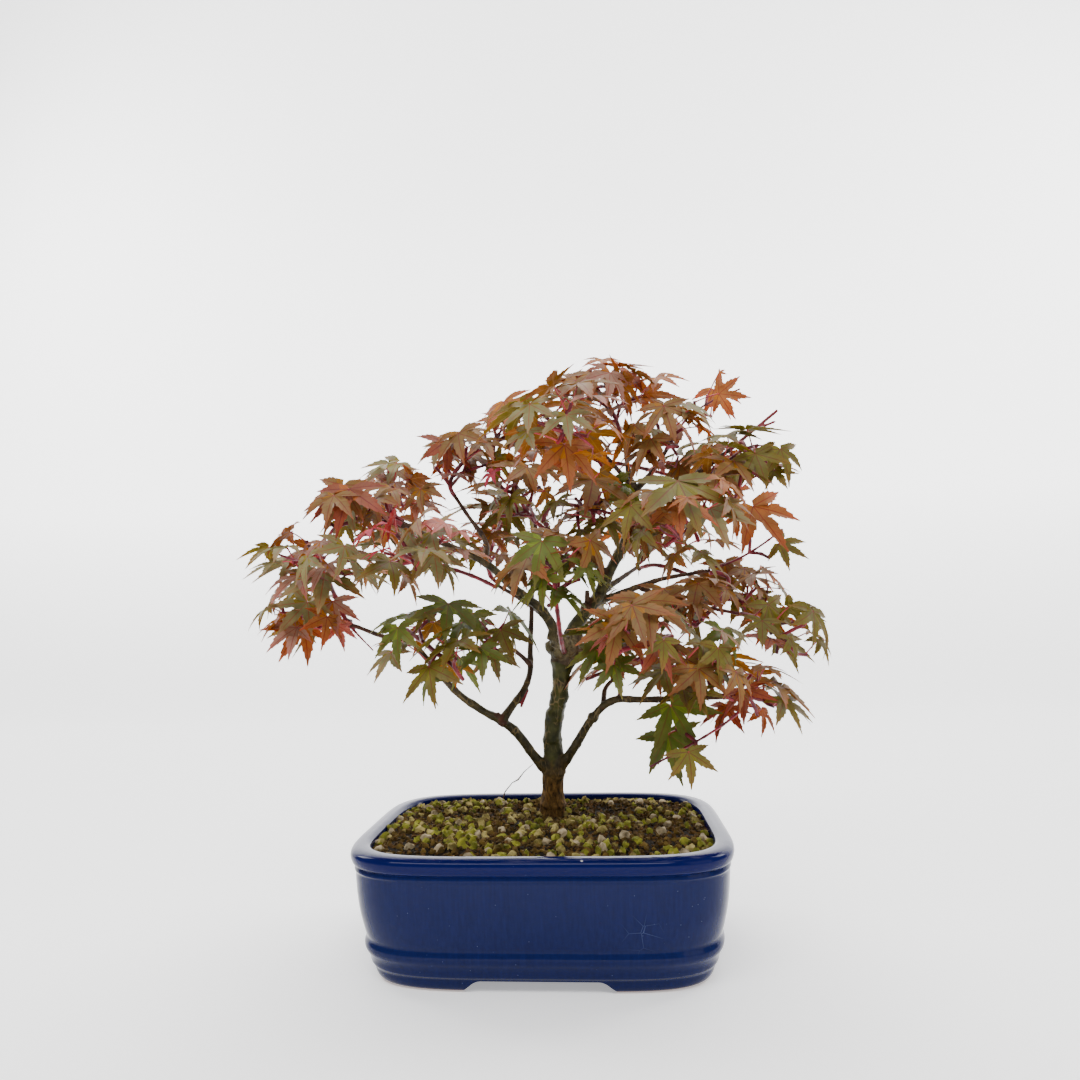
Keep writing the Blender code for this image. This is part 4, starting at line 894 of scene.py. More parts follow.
def bend(start, middle, end, count):
    """Places on the arc that leaves start towards middle and comes to end."""
    places = []
    for k in range(count + 1):
        t = k / count
        places.append(start * (1 - t) ** 2 + middle * (2 * t * (1 - t)) + end * t * t)
    return places


def sideways(direction, angle):
    """A unit vector at right angles to a direction, turned by an angle round it."""
    side = direction.cross(UP)
    if side.length < 0.1:
        side = direction.cross(FRONT)
    side.normalize()
    return side * math.cos(angle) + direction.cross(side) * math.sin(angle)


def even_radii(count, pair):
    return [pair[0] + (pair[1] - pair[0]) * k / (count - 1) for k in range(count)]


def stem_start(name):
    """Where a mass's stem starts, a gap clear of its limb, and the direction it first runs in."""
    limb, centre, _, _, _ = MASSES[name]
    path = PATHS[limb]
    if limb == "trunk":
        callus_height = TRUNK_SWELLS[-1][0] * MM
        foot = min(path, key=lambda place: abs(place.z - callus_height))
        outward = Vector(centre) * MM - foot
        outward = Vector((outward.x, outward.y, 0)).normalized()
        radius = RADII[limb][path.index(foot)]
        return foot + outward * (radius + GAP), outward
    heading = (path[-1] - path[-2]).normalized()
    start = path[-1] + heading * GAP
    sharing = [other for other in NAMES if MASSES[other][0] == limb]
    if len(sharing) > 1:
        aims = [(Vector(MASSES[other][1]) * MM - path[-1]).normalized() for other in sharing]
        apart = aims[0] - aims[1]
        apart -= heading * apart.dot(heading)
        side = 1 if sharing[0] == name else -1
        start += apart.normalized() * (side * STEM_APART * STEM_RADIUS[0])
    return start, heading


def grow_stem(name, others):
    """The arc of a mass's stem, from its limb into its space, clear of all limbs and other stems."""
    _, centre, _, _, seed = MASSES[name]
    dice = random.Random(f"{name} stem {seed}")
    centre = Vector(centre) * MM
    foot, heading = stem_start(name)
    start = foot + heading * STEM_STRAIGHT
    aim = (centre - start).normalized()
    end = centre + aim * (STEM_REACH * room(NAMES.index(name), centre, aim))
    length = (end - start).length
    limbs = segments_of([(PATHS[limb], RADII[limb]) for limb in PATHS])
    for attempt in range(STEM_TRIES):
        wander = Vector([dice.uniform(-1, 1) for _ in range(3)]) * (STEM_WANDER * attempt * length)
        middle = start + heading * (STEM_LEAD * length) + wander
        body = np.array(bend(start, middle, end, 24)[2:])
        clear = clearance(body, limbs) > STEM_RADIUS[0] + GAP
        apart = all(clearance(body, other) > STEM_RADIUS[0] * 2 + GAP for other in others)
        if clear and apart:
            return [foot] + bend(start, middle, end, STEM_PIECES)
    raise RuntimeError(f"the stem of {name} has no clear way")


def leaf_outline():
    """Angle, radius and sag of the points round a leaf, as parts of its size."""
    right = []
    for tip, notch in zip(LOBE_TIPS, LOBE_NOTCHES + [None]):
        right.append(tip)
        if notch:
            right.append(notch)
    left = [(-angle, radius, sag) for angle, radius, sag in reversed(right[1:])]
    return right + [LEAF_REAR] + left


OUTLINE = leaf_outline()


def leaf_points(centre, forward, normal, size):
    """The rim of a leaf: lobes that spread from the top of the stalk and sag like an umbrella."""
    side = forward.cross(normal)
    points = []
    for angle, radius, sag in OUTLINE:
        turn = math.radians(angle)
        flat = forward * math.cos(turn) + side * math.sin(turn)
        points.append(centre + (flat * radius - normal * sag) * size)
    return points


def sleeves(paths, margin):
    """A search tree of square tubes round some (path, radii) pairs, wider than they are by a margin."""
    corners = []
    sides = []
    for path, radii in paths:
        for k in range(len(path) - 1):
            along = path[k + 1] - path[k]
            first = len(corners)
            for end in (k, k + 1):
                for turn in range(4):
                    out = sideways(along.normalized(), math.pi / 2 * turn)
                    corners.append(path[end] + out * (radii[end] + margin) * math.sqrt(2))
            for turn in range(4):
                after = (turn + 1) % 4
                sides.append((first + turn, first + after, first + 4 + after, first + 4 + turn))
    return BVHTree.FromPolygons(corners, sides)


def leaf_trees(rim, centre, place):
    """Search trees of a leaf's blade and of the leaf with its stalk."""
    count = len(rim)
    fans = [(k, (k + 1) % count, count) for k in range(count)]
    blade = BVHTree.FromPolygons(rim + [centre], fans)
    near_foot = place.lerp(centre, 0.3)
    stalk = [near_foot, near_foot + UP * PETIOLE_RADIUS]
    whole = BVHTree.FromPolygons(rim + [centre] + stalk, fans + [(count, count + 1, count + 2)])
    return blade, whole


def try_leaf(
        dice, index, place, away, rigid, own, leaves,
        sizes=LEAF_SIZE, spacing=LEAF_SPACING, tries=LEAF_TRIES):
    """One leaf on a stalk that leaves the place, turned until it fits, or None."""
    out_part, stalk_part, front_part, stray_part = LEAF_BEARING
    for attempt in range(tries):
        stray = Vector([dice.uniform(-LEAF_STRAY, LEAF_STRAY) for _ in range(3)])
        stalk = (away + UP * PETIOLE_LIFT + stray).normalized()
        centre = place + stalk * dice.uniform(*PETIOLE_LENGTH)
        size = dice.uniform(*sizes) * (1 - LEAF_SHRINK * attempt)
        outward = (centre - CROWN_AXIS).normalized() * out_part + stalk * stalk_part
        outward += FRONT * front_part + stray * stray_part
        outward.z = 0
        outward.normalize()
        droop = math.radians(dice.uniform(*LEAF_DROOP))
        forward = outward * math.cos(droop) - UP * math.sin(droop)
        normal = outward * math.sin(droop) + UP * math.cos(droop)
        roll = math.radians(dice.uniform(-LEAF_ROLL, LEAF_ROLL))
        normal = Matrix.Rotation(roll, 3, forward) @ normal
        crowded = any((centre - leaf[1]).length < spacing for leaf, _ in leaves)
        if stalk.dot(normal) < STALK_LEAN or crowded:
            continue
        rim = leaf_points(centre, forward, normal, size)
        middles = [centre.lerp(point, 0.6) for point in rim]
        if not in_own_space(index, np.array(rim + middles + [centre, place.lerp(centre, 0.5)])):
            continue
        blade, whole = leaf_trees(rim, centre, place)
        crossing = any(whole.overlap(other) for _, other in leaves)
        if whole.overlap(rigid) or blade.overlap(own) or crossing:
            continue
        return (place, centre, forward, normal, size), whole
    return None


def grow(name, stems):
    """Twigs and leaves of a mass. They stand in opposite pairs, each pair square to the last."""
    _, _, _, most, seed = MASSES[name]
    index = NAMES.index(name)
    dice = random.Random(f"{name} {seed}")
    stem = stems[name]
    others = [(PATHS[limb], RADII[limb]) for limb in PATHS]
    others += [(stems[other], even_radii(len(stems[other]), STEM_RADIUS)) for other in stems if other != name]
    limbs = segments_of(others)
    rigid = sleeves(others, TOUCH_MARGIN)
    inside = [k for k in range(1, len(stem)) if in_own_space(index, np.array([stem[k]]))]
    first = inside[0] if inside else len(stem) - 1
    out_part, along_part, up_part = TWIG_HEADING
    twigs = []
    sites = []  # order in which they get a leaf, place, direction of the stalk, number of the twig
    turn = dice.uniform(0, math.pi)
    for k in range(STEM_NODES):
        part = first + (len(stem) - 1 - first) * (k + 0.5) / (STEM_NODES - 0.5)
        low = min(int(part), len(stem) - 2)
        place = stem[low].lerp(stem[low + 1], part - low)
        along = (stem[low + 1] - stem[low]).normalized()
        turn += math.pi / 2 + dice.uniform(-0.25, 0.25)
        for sign in (1, -1):
            away = sideways(along, turn) * sign
            sites.append((2, place, away * STEM_LEAF_HEADING[0] + along * STEM_LEAF_HEADING[1], None))
            heading = (away * out_part + along * along_part + UP * up_part).normalized()
            length = room(index, place, heading) * dice.uniform(*TWIG_REACH) - PETIOLE_LENGTH[0] * 0.5
            end = place + heading * length + UP * (TWIG_LIFT * length)
            body = np.array([place.lerp(end, step / 8) for step in range(1, 9)])
            if length < SHORTEST_TWIG or not in_own_space(index, body):
                continue
            if clearance(body, limbs) < TWIG_RADIUS[0] + GAP:
                continue
            twigs.append([place, end])
            out = (end - place).normalized()
            slant = dice.uniform(0, math.pi)
            for leaf_sign in (1, -1):
                pair = sideways(out, slant) * leaf_sign
                square = sideways(out, slant + math.pi / 2) * leaf_sign
                fork = pair * PAIR_HEADING[0] + out * PAIR_HEADING[1]
                sites.append((0, end - out * ROOTED, fork, len(twigs) - 1))
                sites.append((1, place.lerp(end, TWIG_NODE), square, len(twigs) - 1))
            sites.append((3, end - out * ROOTED, out, len(twigs) - 1))
    tip = (stem[-1] - stem[-2]).normalized()
    sites.append((0, stem[-1] - tip * ROOTED, tip, None))
    own = sleeves([(stem, [0] * len(stem))] + [(twig, [0, 0]) for twig in twigs], TWIG_RADIUS[0])
    leaves = []
    owners = []
    bearing = set()
    spare = []
    for _, place, away, twig in sorted(sites, key=lambda site: site[0]):
        found = None
        if len(leaves) < most:
            found = try_leaf(dice, index, place, away, rigid, own, leaves)
        if found:
            leaves.append(found)
            owners.append(twig)
            bearing.add(twig)
        else:
            spare.append((place, away, twig))
    twigs = [(twig, TWIG_RADIUS) for twig in twigs]
    return fill_in(name, index, twigs, leaves, owners, bearing, spare, limbs, rigid, own)


def fill_in(name, index, twigs, leaves, owners, bearing, spare, limbs, rigid, own):
    """Side twigs and smaller leaves in the places that the first leaves left free."""
    dice = random.Random(f"{name} fill")
    out_part, along_part, up_part = SIDE_TWIG_HEADING
    sites = []
    for (start, end), _ in list(twigs):
        out = (end - start).normalized()
        slant = dice.uniform(0, math.pi)
        for part in SIDE_TWIG_PLACES:
            slant += math.pi / 2
            for sign in (1, -1):
                away = sideways(out, slant) * sign
                foot = start.lerp(end, part)
                heading = (away * out_part + out * along_part + UP * up_part).normalized()
                length = dice.uniform(*SIDE_TWIG_LENGTH)
                tip = foot + heading * length
                body = np.array([foot.lerp(tip, step / 5) for step in range(1, 6)])
                if not in_own_space(index, body) or clearance(body, limbs) < SIDE_TWIG_RADIUS[0] + GAP:
                    continue
                twigs.append(([foot, tip], SIDE_TWIG_RADIUS))
                for leaf_sign in (1, -1):
                    pair = sideways(heading, slant + 0.8) * leaf_sign
                    fork = pair * PAIR_HEADING[0] + heading * PAIR_HEADING[1]
                    sites.append((tip - heading * ROOTED * 0.5, fork, len(twigs) - 1))
                sites.append((tip - heading * ROOTED * 0.5, heading, len(twigs) - 1))
    dice.shuffle(sites)
    wanted = len(leaves) + (0 if name in LONE else round(FILL_SHARE * len(leaves)))
    for place, away, twig in spare + sites:
        if len(leaves) >= wanted:
            break
        found = try_leaf(
            dice, index, place, away, rigid, own, leaves, FILL_SIZE, FILL_SPACING, FILL_TRIES)
        if found:
            leaves.append(found)
            owners.append(twig)
            bearing.add(twig)
    twigs = [twig for k, twig in enumerate(twigs) if k in bearing]
    return twigs, [(leaf, owner) for (leaf, _), owner in zip(leaves, owners)]


stems = {}
for name in NAMES:
    others = [segments_of([(path, even_radii(len(path), STEM_RADIUS))]) for path in stems.values()]
    stems[name] = grow_stem(name, others)
growth = {name: grow(name, stems) for name in NAMES}


def nodal(path, pair, step):
    """A finer path and its radii, from one radius to another, a little thicker at each joint."""
    fine = through(path, step)
    radii = []
    for k in range(len(fine)):
        radius = pair[0] + (pair[1] - pair[0]) * k / (len(fine) - 1)
        radii.append(radius * (BUD_SWELL if k % BUDS_EVERY == BUDS_EVERY - 1 else 1.0))
    return fine, radii


twig_lines = new_strands("young_twigs", 2)
stalk_lines = new_strands("leaf_stalks", 1)
for name in NAMES:
    twigs, leaves = growth[name]
    stem = stems[name]
    heading = (stem[1] - stem[0]).normalized()
    thick = LONE_RADIUS if name in LONE else STEM_RADIUS
    path, radii = nodal([stem[0] - heading * STEM_ROOT * MM] + stem[1:], thick, STEM_STEP)
    add_strand(twig_lines, path, radii)
    for (start, end), pair in twigs:
        dice = random.Random(f"{start.x:.5f}")
        middle = start.lerp(end, 0.5) + Vector([dice.uniform(-1, 1) for _ in range(3)]) * TWIG_WANDER * MM
        path, radii = nodal([start, middle, end], pair, TWIG_STEP)
        add_strand(twig_lines, path, radii)
    for (place, centre, forward, normal, size), _ in leaves:
        middle = place.lerp(centre, 0.5) + UP * (centre - place).length * PETIOLE_ARC
        thin = PETIOLE_RADIUS * (0.75 + 0.25 * min(1.0, size / PETIOLE_FULL))
        path = bend(place, middle, centre - normal * PETIOLE_INSET * MM, len(PETIOLE_SWELLS) - 1)
        path = [Vector((spot.x, spot.y, min(spot.z, REACH[1][2] - EDGE))) for spot in path]
        add_strand(stalk_lines, path, [thin * swell for swell in PETIOLE_SWELLS])
twigs = evaluated(add_object("young_twigs", twig_lines))
stalks = evaluated(add_object("leaf_stalks", stalk_lines))

# Young maple wood: a thin waxy skin, maroon with paler specks (lenticels) about 0.4 mm across.
young, tree, shader, place = new_material("young_maple_wood", 0.42, 0.35)
tones = add_node(tree, "ShaderNodeTexNoise", {"Vector": place, "Scale": grain(7), "Detail": 3.0})
tone = add_node(tree, "ShaderNodeValToRGB", {"Fac": tones}, stops=((0.35, "#3e0e17"), (0.68, "#8a2230")))
specks = add_node(tree, "ShaderNodeTexVoronoi", {"Vector": place, "Scale": grain(1.6)})
speck = add_node(tree, "ShaderNodeMapRange", {
    "Value": specks, "From Min": 0.25, "From Max": 0.12, "To Max": 0.2})
specked = add_node(tree, "ShaderNodeMix", {"Factor": speck, "A": tone, "B": "#9a6a50"}, data_type="RGBA")
feed(tree, shader, {"Base Color": specked})
coat(twigs, young)

# Leaf stalks: smooth and juicy, bright red on the sunny side, paler where they are shaded.
red, tree, shader, place = new_material("red_leaf_stalk", 0.38)
tones = add_node(tree, "ShaderNodeTexNoise", {"Vector": place, "Scale": grain(14), "Detail": 2.0})
tone = add_node(tree, "ShaderNodeValToRGB", {"Fac": tones}, stops=((0.35, "#7a1a20"), (0.65, "#b8383a")))
feed(tree, shader, {"Base Color": tone})
coat(stalks, red)
for piece in (twigs, stalks):
    piece.data.shade_smooth()
    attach(piece, "root")
    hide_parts(*[f"leaves_{name}" for name in NAMES])


# ================================================================ leaves
# Palmate maple leaves, each one thin sheet with five long lobes, saw-toothed and drawn out to fine
# tips, that hang from the top of the stalk like a half closed umbrella. It is autumn coming on: most
# are bronze and olive, some amber or rust, and the youngest are crimson.
LEAF_SHAPES = 20
TEETH = 5  # on each side of a lobe
LOBE_WIDTH = 0.136  # half width of the middle lobe, as a part of the leaf's size
LOBES = [(-97, 0.70), (-48, 0.95), (0, 1.0), (48, 0.95), (97, 0.70)]
NOTCH_RADIUS = 0.27
REAR = ((-150, 0.13), (150, 0.13))
SHEETS_APART = 0.12 * MM
# A blade's size as a part of its outline's: the first that keeps it inside the solids' box.
FULL_SHARES = (1.26, 1.14, 1.02, 0.9, 0.78, 0.66, 0.54, 0.42, 0.32, 0.24)
YOUNG_SHARES = (0.85, 0.75, 0.65, 0.55, 0.45)
# The leaves of a lone spray hang open to the front. Where their middle lobes point.
LONE_HEADINGS = {
    "low_star": (0.1, -0.3, -0.95), "right_wisp": (0.75, -0.2, -0.6), "sprig": (0.75, -0.2, -0.6)}
LONE_TURNS = (0.5, 0.3)  # radians either way, in its own plane and round its middle lobe
LONE_LEAN = 0.35
# Radians that a leaf may turn round its middle lobe, tip forwards and swing in its own plane.
LEAF_TURNS = ((-0.4, 0.4), (-0.25, 0.45), (-0.3, 0.3))
OWN_TINT = 0.35  # share of the leaves that don't take their twig's tint
# How leaf shapes differ from each other. The leaf: radians that its lobes droop, and how steeply
# their halves rise from the midrib. Each lobe: degrees astray, share of its length, of its notch, of
# its droop and of its width, and how far it swings aside.
LEAF_DROOPS = (0.1, 0.6)
LEAF_FOLDS = (0.1, 0.5)
LOBE_STRAYS = (-4, 4)
LOBE_LENGTHS = (0.93, 1.04)
LOBE_GAPS = (0.9, 1.1)
LOBE_DROOPS = (0.7, 1.4)
LOBE_WIDTHS = (0.88, 1.1)
LOBE_SWINGS = (-0.10, 0.10)
# The teeth run over this part of a lobe. Each one's tip and foot: how far on along the lobe, and
# how wide there, as a part of the lobe's half width.
TOOTHED = (0.20, 0.76)
TOOTH_TIP = (0.05, 1.07)
TOOTH_FOOT = (0.06, 0.89)
# Name, then the colour at the heart, at the tips and of the veins, for the top and for the underside.
# Sage and mauve tops are pale with painted sheen: the shine of a glossy leaf painted into its colour.
TINTS = {
    "y": ("sage", ("#8f8a5a", "#a08058", "#a05c40"), ("#8e7c1c", "#a8661c", "#aa9c48")),
    "m": ("mauve", ("#a98570", "#b06c60", "#94403a"), ("#b06c18", "#b45824", "#cc9848")),
    "b": ("bronze", ("#8c6a34", "#965630", "#7e3422"), ("#a46c12", "#a85014", "#bc8c38")),
    "o": ("olive", ("#746a22", "#806026", "#743e1e"), ("#7c7210", "#906418", "#9c8c38")),
    "g": ("green", ("#606a20", "#70682a", "#6e5220"), ("#728018", "#80721c", "#949a40")),
    "a": ("amber", ("#a86c32", "#ac522e", "#8a361c"), ("#c0780e", "#bc5c16", "#d09838")),
    "r": ("rust", ("#985434", "#943c26", "#742424"), ("#b05c18", "#a43e18", "#c07838")),
    "s": ("salmon", ("#c4806e", "#bc5a56", "#a43a38"), ("#ca7050", "#bc4c3c", "#dc9478")),
    "c": ("crimson", ("#bc3e50", "#a82844", "#942036"), ("#c44848", "#b03036", "#d07060")),
}
# The tints of the masses at the back, and of each other mass, one letter for each part in the mix.
# The letters y and m deal out leaves with painted sheen.
BACK_TINTS = "bbbooya"
MASS_TINTS = {
    "far_left_low": "yymmmsaagb", "far_left_up": "yyymmmymcs", "left_low": "ooobgggy",
    "low_centre": "ooogggy", "left_shoulder": "bbaammyr", "left_peak": "bbaammyr",
    "left_inner": "yyybmosc", "arch": "aabbyrm", "arch_top": "aabbymos", "centre_up": "obbobocs",
    "centre_mid": "oobbggo", "crest": "aabbmmyr", "top_front": "ymmbbas", "top_right": "bbbaays",
    "sprig": "aao", "right_up": "bbbaooyr", "right_up_outer": "boaoobyr", "right_centre": "bboogoay",
    "right_wisp": "oab", "right_mid": "oobbbrg", "right_mid_outer": "bbbooro",
    "right_low_in": "oobbrgs", "right_low": "ooobggbb", "right_low_outer": "bbbooor", "low_star": "ggo",
    "trunk_right": "oobbs", "centre_front": "ooogbbgg",
}


def lobe_swell(part):
    """A lobe's half width along its length: full before the middle, drawn out to a fine tip."""
    run = min(1.0, max(0.0, (part - 0.05) / 0.95))
    return 8.3 * run ** 1.2 * (1 - run) ** 2


def leaf_shape(dice):
    """A leaf of unit size in its own axes: forward, to the side and up. Points, faces and marks.

    A mark says where on its lobe a point is: across from edge to edge, and out from heart to tip.
    """
    points = []
    marks = []
    faces = []

    def add(angle, reach, across, sink, mark):
        turn = math.radians(angle)
        points.append((
            reach * math.cos(turn) - across * math.sin(turn),
            reach * math.sin(turn) + across * math.cos(turn), sink))
        marks.append(mark)
        return len(points) - 1

    droop = dice.uniform(*LEAF_DROOPS)
    fold = dice.uniform(*LEAF_FOLDS)
    centre = add(0, 0, 0, 0, (0.5, 0))
    angles = [angle + dice.uniform(*LOBE_STRAYS) for angle, _ in LOBES]
    lengths = [length * dice.uniform(*LOBE_LENGTHS) for _, length in LOBES]
    notches = [add(*REAR[0], 0, -0.02, (0, 0.1))]
    for low, high in zip(angles, angles[1:]):
        radius = NOTCH_RADIUS * dice.uniform(*LOBE_GAPS)
        notches.append(add((low + high) / 2, radius, 0, -0.03, (0, 0.25)))
    notches.append(add(*REAR[1], 0, -0.02, (0, 0.1)))
    for number, (angle, length) in enumerate(zip(angles, lengths)):
        bowing = droop * dice.uniform(*LOBE_DROOPS)
        swing = dice.uniform(*LOBE_SWINGS)
        width = LOBE_WIDTH * length ** 0.6 * dice.uniform(*LOBE_WIDTHS)

        def place_on(part, across, mark_across):
            reach = length * math.sin(bowing * part) / bowing
            sink = -length * (1 - math.cos(bowing * part)) / bowing
            drift = swing * part * part * length
            return add(angle, reach, across + drift, sink + fold * abs(across), (mark_across, part))

        middles = [centre]
        sides = {-1: [notches[number]], 1: [notches[number + 1]]}
        for k in range(1, TEETH + 1):
            at = TOOTHED[0] + TOOTHED[1] * (k - 0.45) / TEETH
            middles.append(place_on(at, 0, 0.5))
            for side in (-1, 1):
                wide = side * width
                outer = place_on(at + TOOTH_TIP[0], wide * lobe_swell(at) * TOOTH_TIP[1], 0.5 + side * 0.5)
                after = at + TOOTH_FOOT[0]
                inner = place_on(after, wide * lobe_swell(after) * TOOTH_FOOT[1], 0.5 + side * 0.44)
                sides[side] += [outer, inner]
        tip = place_on(1.0, 0, 0.5)
        for side in (-1, 1):
            edge = sides[side]
            made = [(middles[k], edge[2 * k], edge[2 * k + 1], middles[k + 1]) for k in range(TEETH)]
            made += [(middles[k + 1], edge[2 * k + 1], edge[2 * k + 2]) for k in range(TEETH)]
            made.append((middles[TEETH], edge[-1], tip))
            faces += made if side < 0 else [face[::-1] for face in made]
    return np.array(points), faces, marks


def leaf_material(name, body, tip, vein):
    """Leaf blade: thin waxy skin that lets light through, with finer veins off a stout midrib."""
    material, tree, shader, place = new_material(name, 0.48, 0.4)
    mark = add_node(tree, "ShaderNodeUVMap", uv_map="blade").outputs["UV"]
    parts = add_node(tree, "ShaderNodeSeparateXYZ", {"Vector": mark})
    off = add_node(tree, "ShaderNodeMath", {0: parts.outputs["X"], 1: 0.5}, operation="SUBTRACT")
    away = add_node(tree, "ShaderNodeMath", {0: off}, operation="ABSOLUTE")
    patches = add_node(tree, "ShaderNodeTexNoise", {"Vector": place, "Scale": grain(14), "Detail": 2.0})
    out = add_node(tree, "ShaderNodeMath", {
        0: patches, 1: 0.7, 2: parts.outputs["Y"]}, operation="MULTIPLY_ADD")
    turning = add_node(tree, "ShaderNodeMapRange", {"Value": out, "From Min": 0.75, "From Max": 1.4})
    turned = add_node(tree, "ShaderNodeMix", {"Factor": turning, "A": body, "B": tip}, data_type="RGBA")
    shade = add_node(tree, "ShaderNodeMapRange", {
        "Value": patches, "From Min": 0.3, "From Max": 0.7, "To Min": 0.78, "To Max": 1.18})
    lit = add_node(tree, "ShaderNodeMix", {
        "Factor": 1.0, "A": turned, "B": shade}, data_type="RGBA", blend_type="MULTIPLY")
    rim = add_node(tree, "ShaderNodeMapRange", {
        "Value": away, "From Min": 0.40, "From Max": 0.52, "To Max": 0.4})
    edged = add_node(tree, "ShaderNodeMix", {"Factor": rim, "A": lit, "B": tip}, data_type="RGBA")
    slant = add_node(tree, "ShaderNodeMath", {
        0: away, 1: -0.35, 2: parts.outputs["Y"]}, operation="MULTIPLY_ADD")
    ribs = add_node(tree, "ShaderNodeMath", {0: slant, 1: 0.085}, operation="PINGPONG")
    side_vein = add_node(tree, "ShaderNodeMapRange", {
        "Value": ribs, "From Min": 0.014, "From Max": 0.004, "To Max": 0.35})
    midrib = add_node(tree, "ShaderNodeMapRange", {
        "Value": away, "From Min": 0.06, "From Max": 0.03, "To Max": 0.75})
    veins = add_node(tree, "ShaderNodeMath", {0: side_vein, 1: midrib}, operation="MAXIMUM")
    veined = add_node(tree, "ShaderNodeMix", {"Factor": veins, "A": edged, "B": vein}, data_type="RGBA")
    bump = add_node(tree, "ShaderNodeBump", {"Height": veins, "Strength": 0.35, "Distance": 0.2 * MM})
    feed(tree, shader, {"Base Color": veined, "Normal": bump})
    through_light = add_node(tree, "ShaderNodeBsdfTranslucent", {"Color": veined})
    blend = add_node(tree, "ShaderNodeMixShader", {0: 0.45, 1: shader, 2: through_light})
    feed(tree, tree.nodes["Material Output"], {"Surface": blend})
    return material


dice = random.Random("leaf shapes")
shapes = [leaf_shape(dice) for _ in range(LEAF_SHAPES)]
sprays = {letter: ([], [], [], []) for letter in TINTS}
for name in NAMES:
    dice = random.Random(name + " tints")
    letters = MASS_TINTS.get(name, BACK_TINTS)
    by_twig = {}
    for (place, centre, forward, normal, size), twig in growth[name][1]:
        letter = by_twig.setdefault(twig, dice.choice(letters))
        if dice.random() < OWN_TINT:
            letter = dice.choice(letters)
        points, faces, marks = shapes[dice.randrange(LEAF_SHAPES)]
        axes = (forward, forward.cross(normal), normal)
        hang = Matrix.Identity(3)
        for axis, span in zip(axes, LEAF_TURNS):
            hang = hang @ Matrix.Rotation(dice.uniform(*span), 3, axis)
        if name in LONE:
            forward = Vector(LONE_HEADINGS[name]).normalized()
            normal = FRONT + UP * LONE_LEAN
            normal = (normal - forward * normal.dot(forward)).normalized()
            hang = Matrix.Identity(3)
            for axis, most in zip((normal, forward), LONE_TURNS):
                hang = hang @ Matrix.Rotation(dice.uniform(-most, most), 3, axis)
        forward = hang @ forward
        normal = hang @ normal
        axes = np.array([forward, forward.cross(normal), normal])
        for share in YOUNG_SHARES if letter in "cs" else FULL_SHARES:
            blade = np.array(centre) + points @ axes * (size * share)
            if (blade > REACH[0]).all() and (blade < REACH[1]).all():
                break
        places, polygons, coordinates, sheets = sprays[letter]
        # A leaf has a top sheet and an underside, a hair apart.
        for sheet in (0, 1):
            first = sum(len(block) for block in places)
            places.append(blade - sheet * np.array(normal) * SHEETS_APART)
            turned = [face[::-1] for face in faces] if sheet else faces
            polygons += [tuple(k + first for k in face) for face in turned]
            coordinates += [marks[k] for face in turned for k in face]
            sheets += [sheet] * len(faces)
for letter, (places, polygons, coordinates, sheets) in sprays.items():
    if not places:
        continue
    label, top, under = TINTS[letter]
    mesh = bpy.data.meshes.new(f"{label}_leaves")
    mesh.from_pydata(np.concatenate(places).tolist(), [], polygons)
    layer = mesh.uv_layers.new(name="blade")
    layer.data.foreach_set("uv", np.array(coordinates, dtype=np.float32).ravel())
    mesh.shade_smooth()
    mesh.materials.append(leaf_material(f"{label}_maple_leaf", *top))
    mesh.materials.append(leaf_material(f"{label}_leaf_underside", *under))
    mesh.polygons.foreach_set("material_index", sheets)
    leaves = add_object(f"{label}_leaves", mesh)
    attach(leaves, "root")
    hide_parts(*[f"leaves_{name}" for name in NAMES])


# ================================================================ floor, light and camera
# A pale sweep of paper under and behind the pot, large soft lights, and the camera, which stands
# level with the middle of the tree and a little to the right of it.
PAPER_HALF_WIDTH = 4.0
PAPER_FRONT = -3.0
PAPER_BACK = 1.0  # where it starts to curve up
PAPER_BEND = 0.6  # radius
PAPER_TOP = 3.2
PAPER_DROP = 0.3 * MM  # it lies this far under the pot's feet
SKY = 0.4  # strength of the light from all round

work = bmesh.new()
profile = [(PAPER_FRONT, 0.0), (PAPER_BACK, 0.0)]
for turn in np.linspace(0.15, math.pi / 2, 10):
    profile.append((PAPER_BACK + PAPER_BEND * math.sin(turn), PAPER_BEND - PAPER_BEND * math.cos(turn)))
profile.append((PAPER_BACK + PAPER_BEND, PAPER_TOP))
rows = [
    [work.verts.new((x, y, z - PAPER_DROP)) for y, z in profile]
    for x in (-PAPER_HALF_WIDTH, PAPER_HALF_WIDTH)]
for k in range(len(profile) - 1):
    work.faces.new((rows[0][k], rows[1][k], rows[1][k + 1], rows[0][k + 1]))
paper_mesh = mesh_from(work, "paper_sweep")
paper_mesh.shade_smooth()
sweep = add_object("paper_sweep", paper_mesh)
paper, tree, shader, place = new_material("white_paper", 0.9)
height = add_node(tree, "ShaderNodeSeparateXYZ", {"Vector": place}).outputs["Z"]
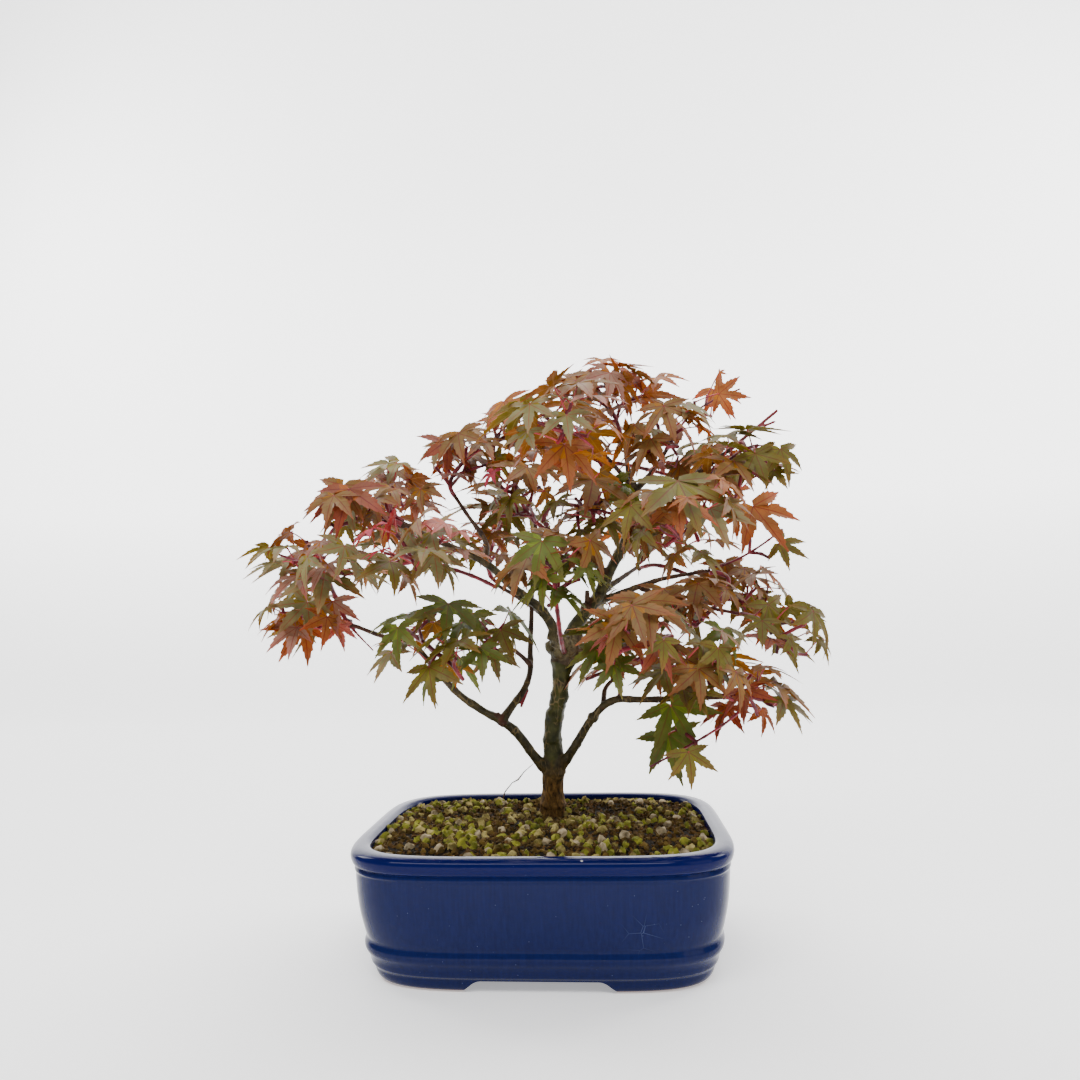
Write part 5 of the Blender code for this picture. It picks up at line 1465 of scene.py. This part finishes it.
glow = add_node(tree, "ShaderNodeMapRange", {
    "Value": height, "From Min": 0.0, "From Max": 0.5, "To Min": 0.4, "To Max": 2.2})
feed(tree, shader, {"Base Color": "#f4f4f4", "Emission Color": "#ffffff", "Emission Strength": glow})
coat(sweep, paper)


def add_light(name, place, aim, width, height, watts):
    """A soft white light of a given width and height, turned to face a place."""
    lamp = bpy.data.lights.new(name, "AREA")
    lamp.shape = "RECTANGLE"
    lamp.size = width
    lamp.size_y = height
    lamp.energy = watts
    thing = add_object(name, lamp)
    thing.location = place
    thing.rotation_euler = (Vector(aim) - Vector(place)).to_track_quat("-Z", "Y").to_euler()


add_light("key", (-0.2, -0.9, 1.25), (0, 0, 0.1), 1.6, 0.35, 20)
add_light("fill", (1.2, -0.9, 0.7), (0, 0, 0.15), 0.9, 0.9, 4)
add_light("top", (0.1, 0.3, 1.6), (0, 0, 0.1), 1.2, 1.2, 22)
add_light("paper_left", (-1.6, 0.7, 1.4), (-0.3, 1.5, 0.6), 0.8, 0.8, 22)
add_light("paper_right", (1.6, 0.7, 1.4), (0.3, 1.5, 0.6), 0.8, 0.8, 22)
world = bpy.context.scene.world or bpy.data.worlds.new("studio")
bpy.context.scene.world = world
world.use_nodes = True
feed(world.node_tree, world.node_tree.nodes["Background"], {"Color": "#ffffff", "Strength": SKY})

YAW, PITCH, ROLL = 0.072, 0.106, -0.024  # radians
STAND = Vector((33.8, -457.4, 176.7))  # mm
level = Vector((-math.sin(YAW), math.cos(YAW), 0))
right = Vector((math.cos(YAW), math.sin(YAW), 0))
ahead = level * math.cos(PITCH) + UP * math.sin(PITCH)
above = UP * math.cos(PITCH) - level * math.sin(PITCH)
across = right * math.cos(ROLL) + above * math.sin(ROLL)
above = above * math.cos(ROLL) - right * math.sin(ROLL)
view = bpy.data.cameras.new("camera")
view.sensor_width = 36
view.lens = 26
view.clip_start = 10 * MM
camera = add_object("camera", view)
turned = Matrix((across, above, -ahead)).transposed().to_4x4()
camera.matrix_world = Matrix.Translation(STAND * MM) @ turned
bpy.context.scene.camera = camera
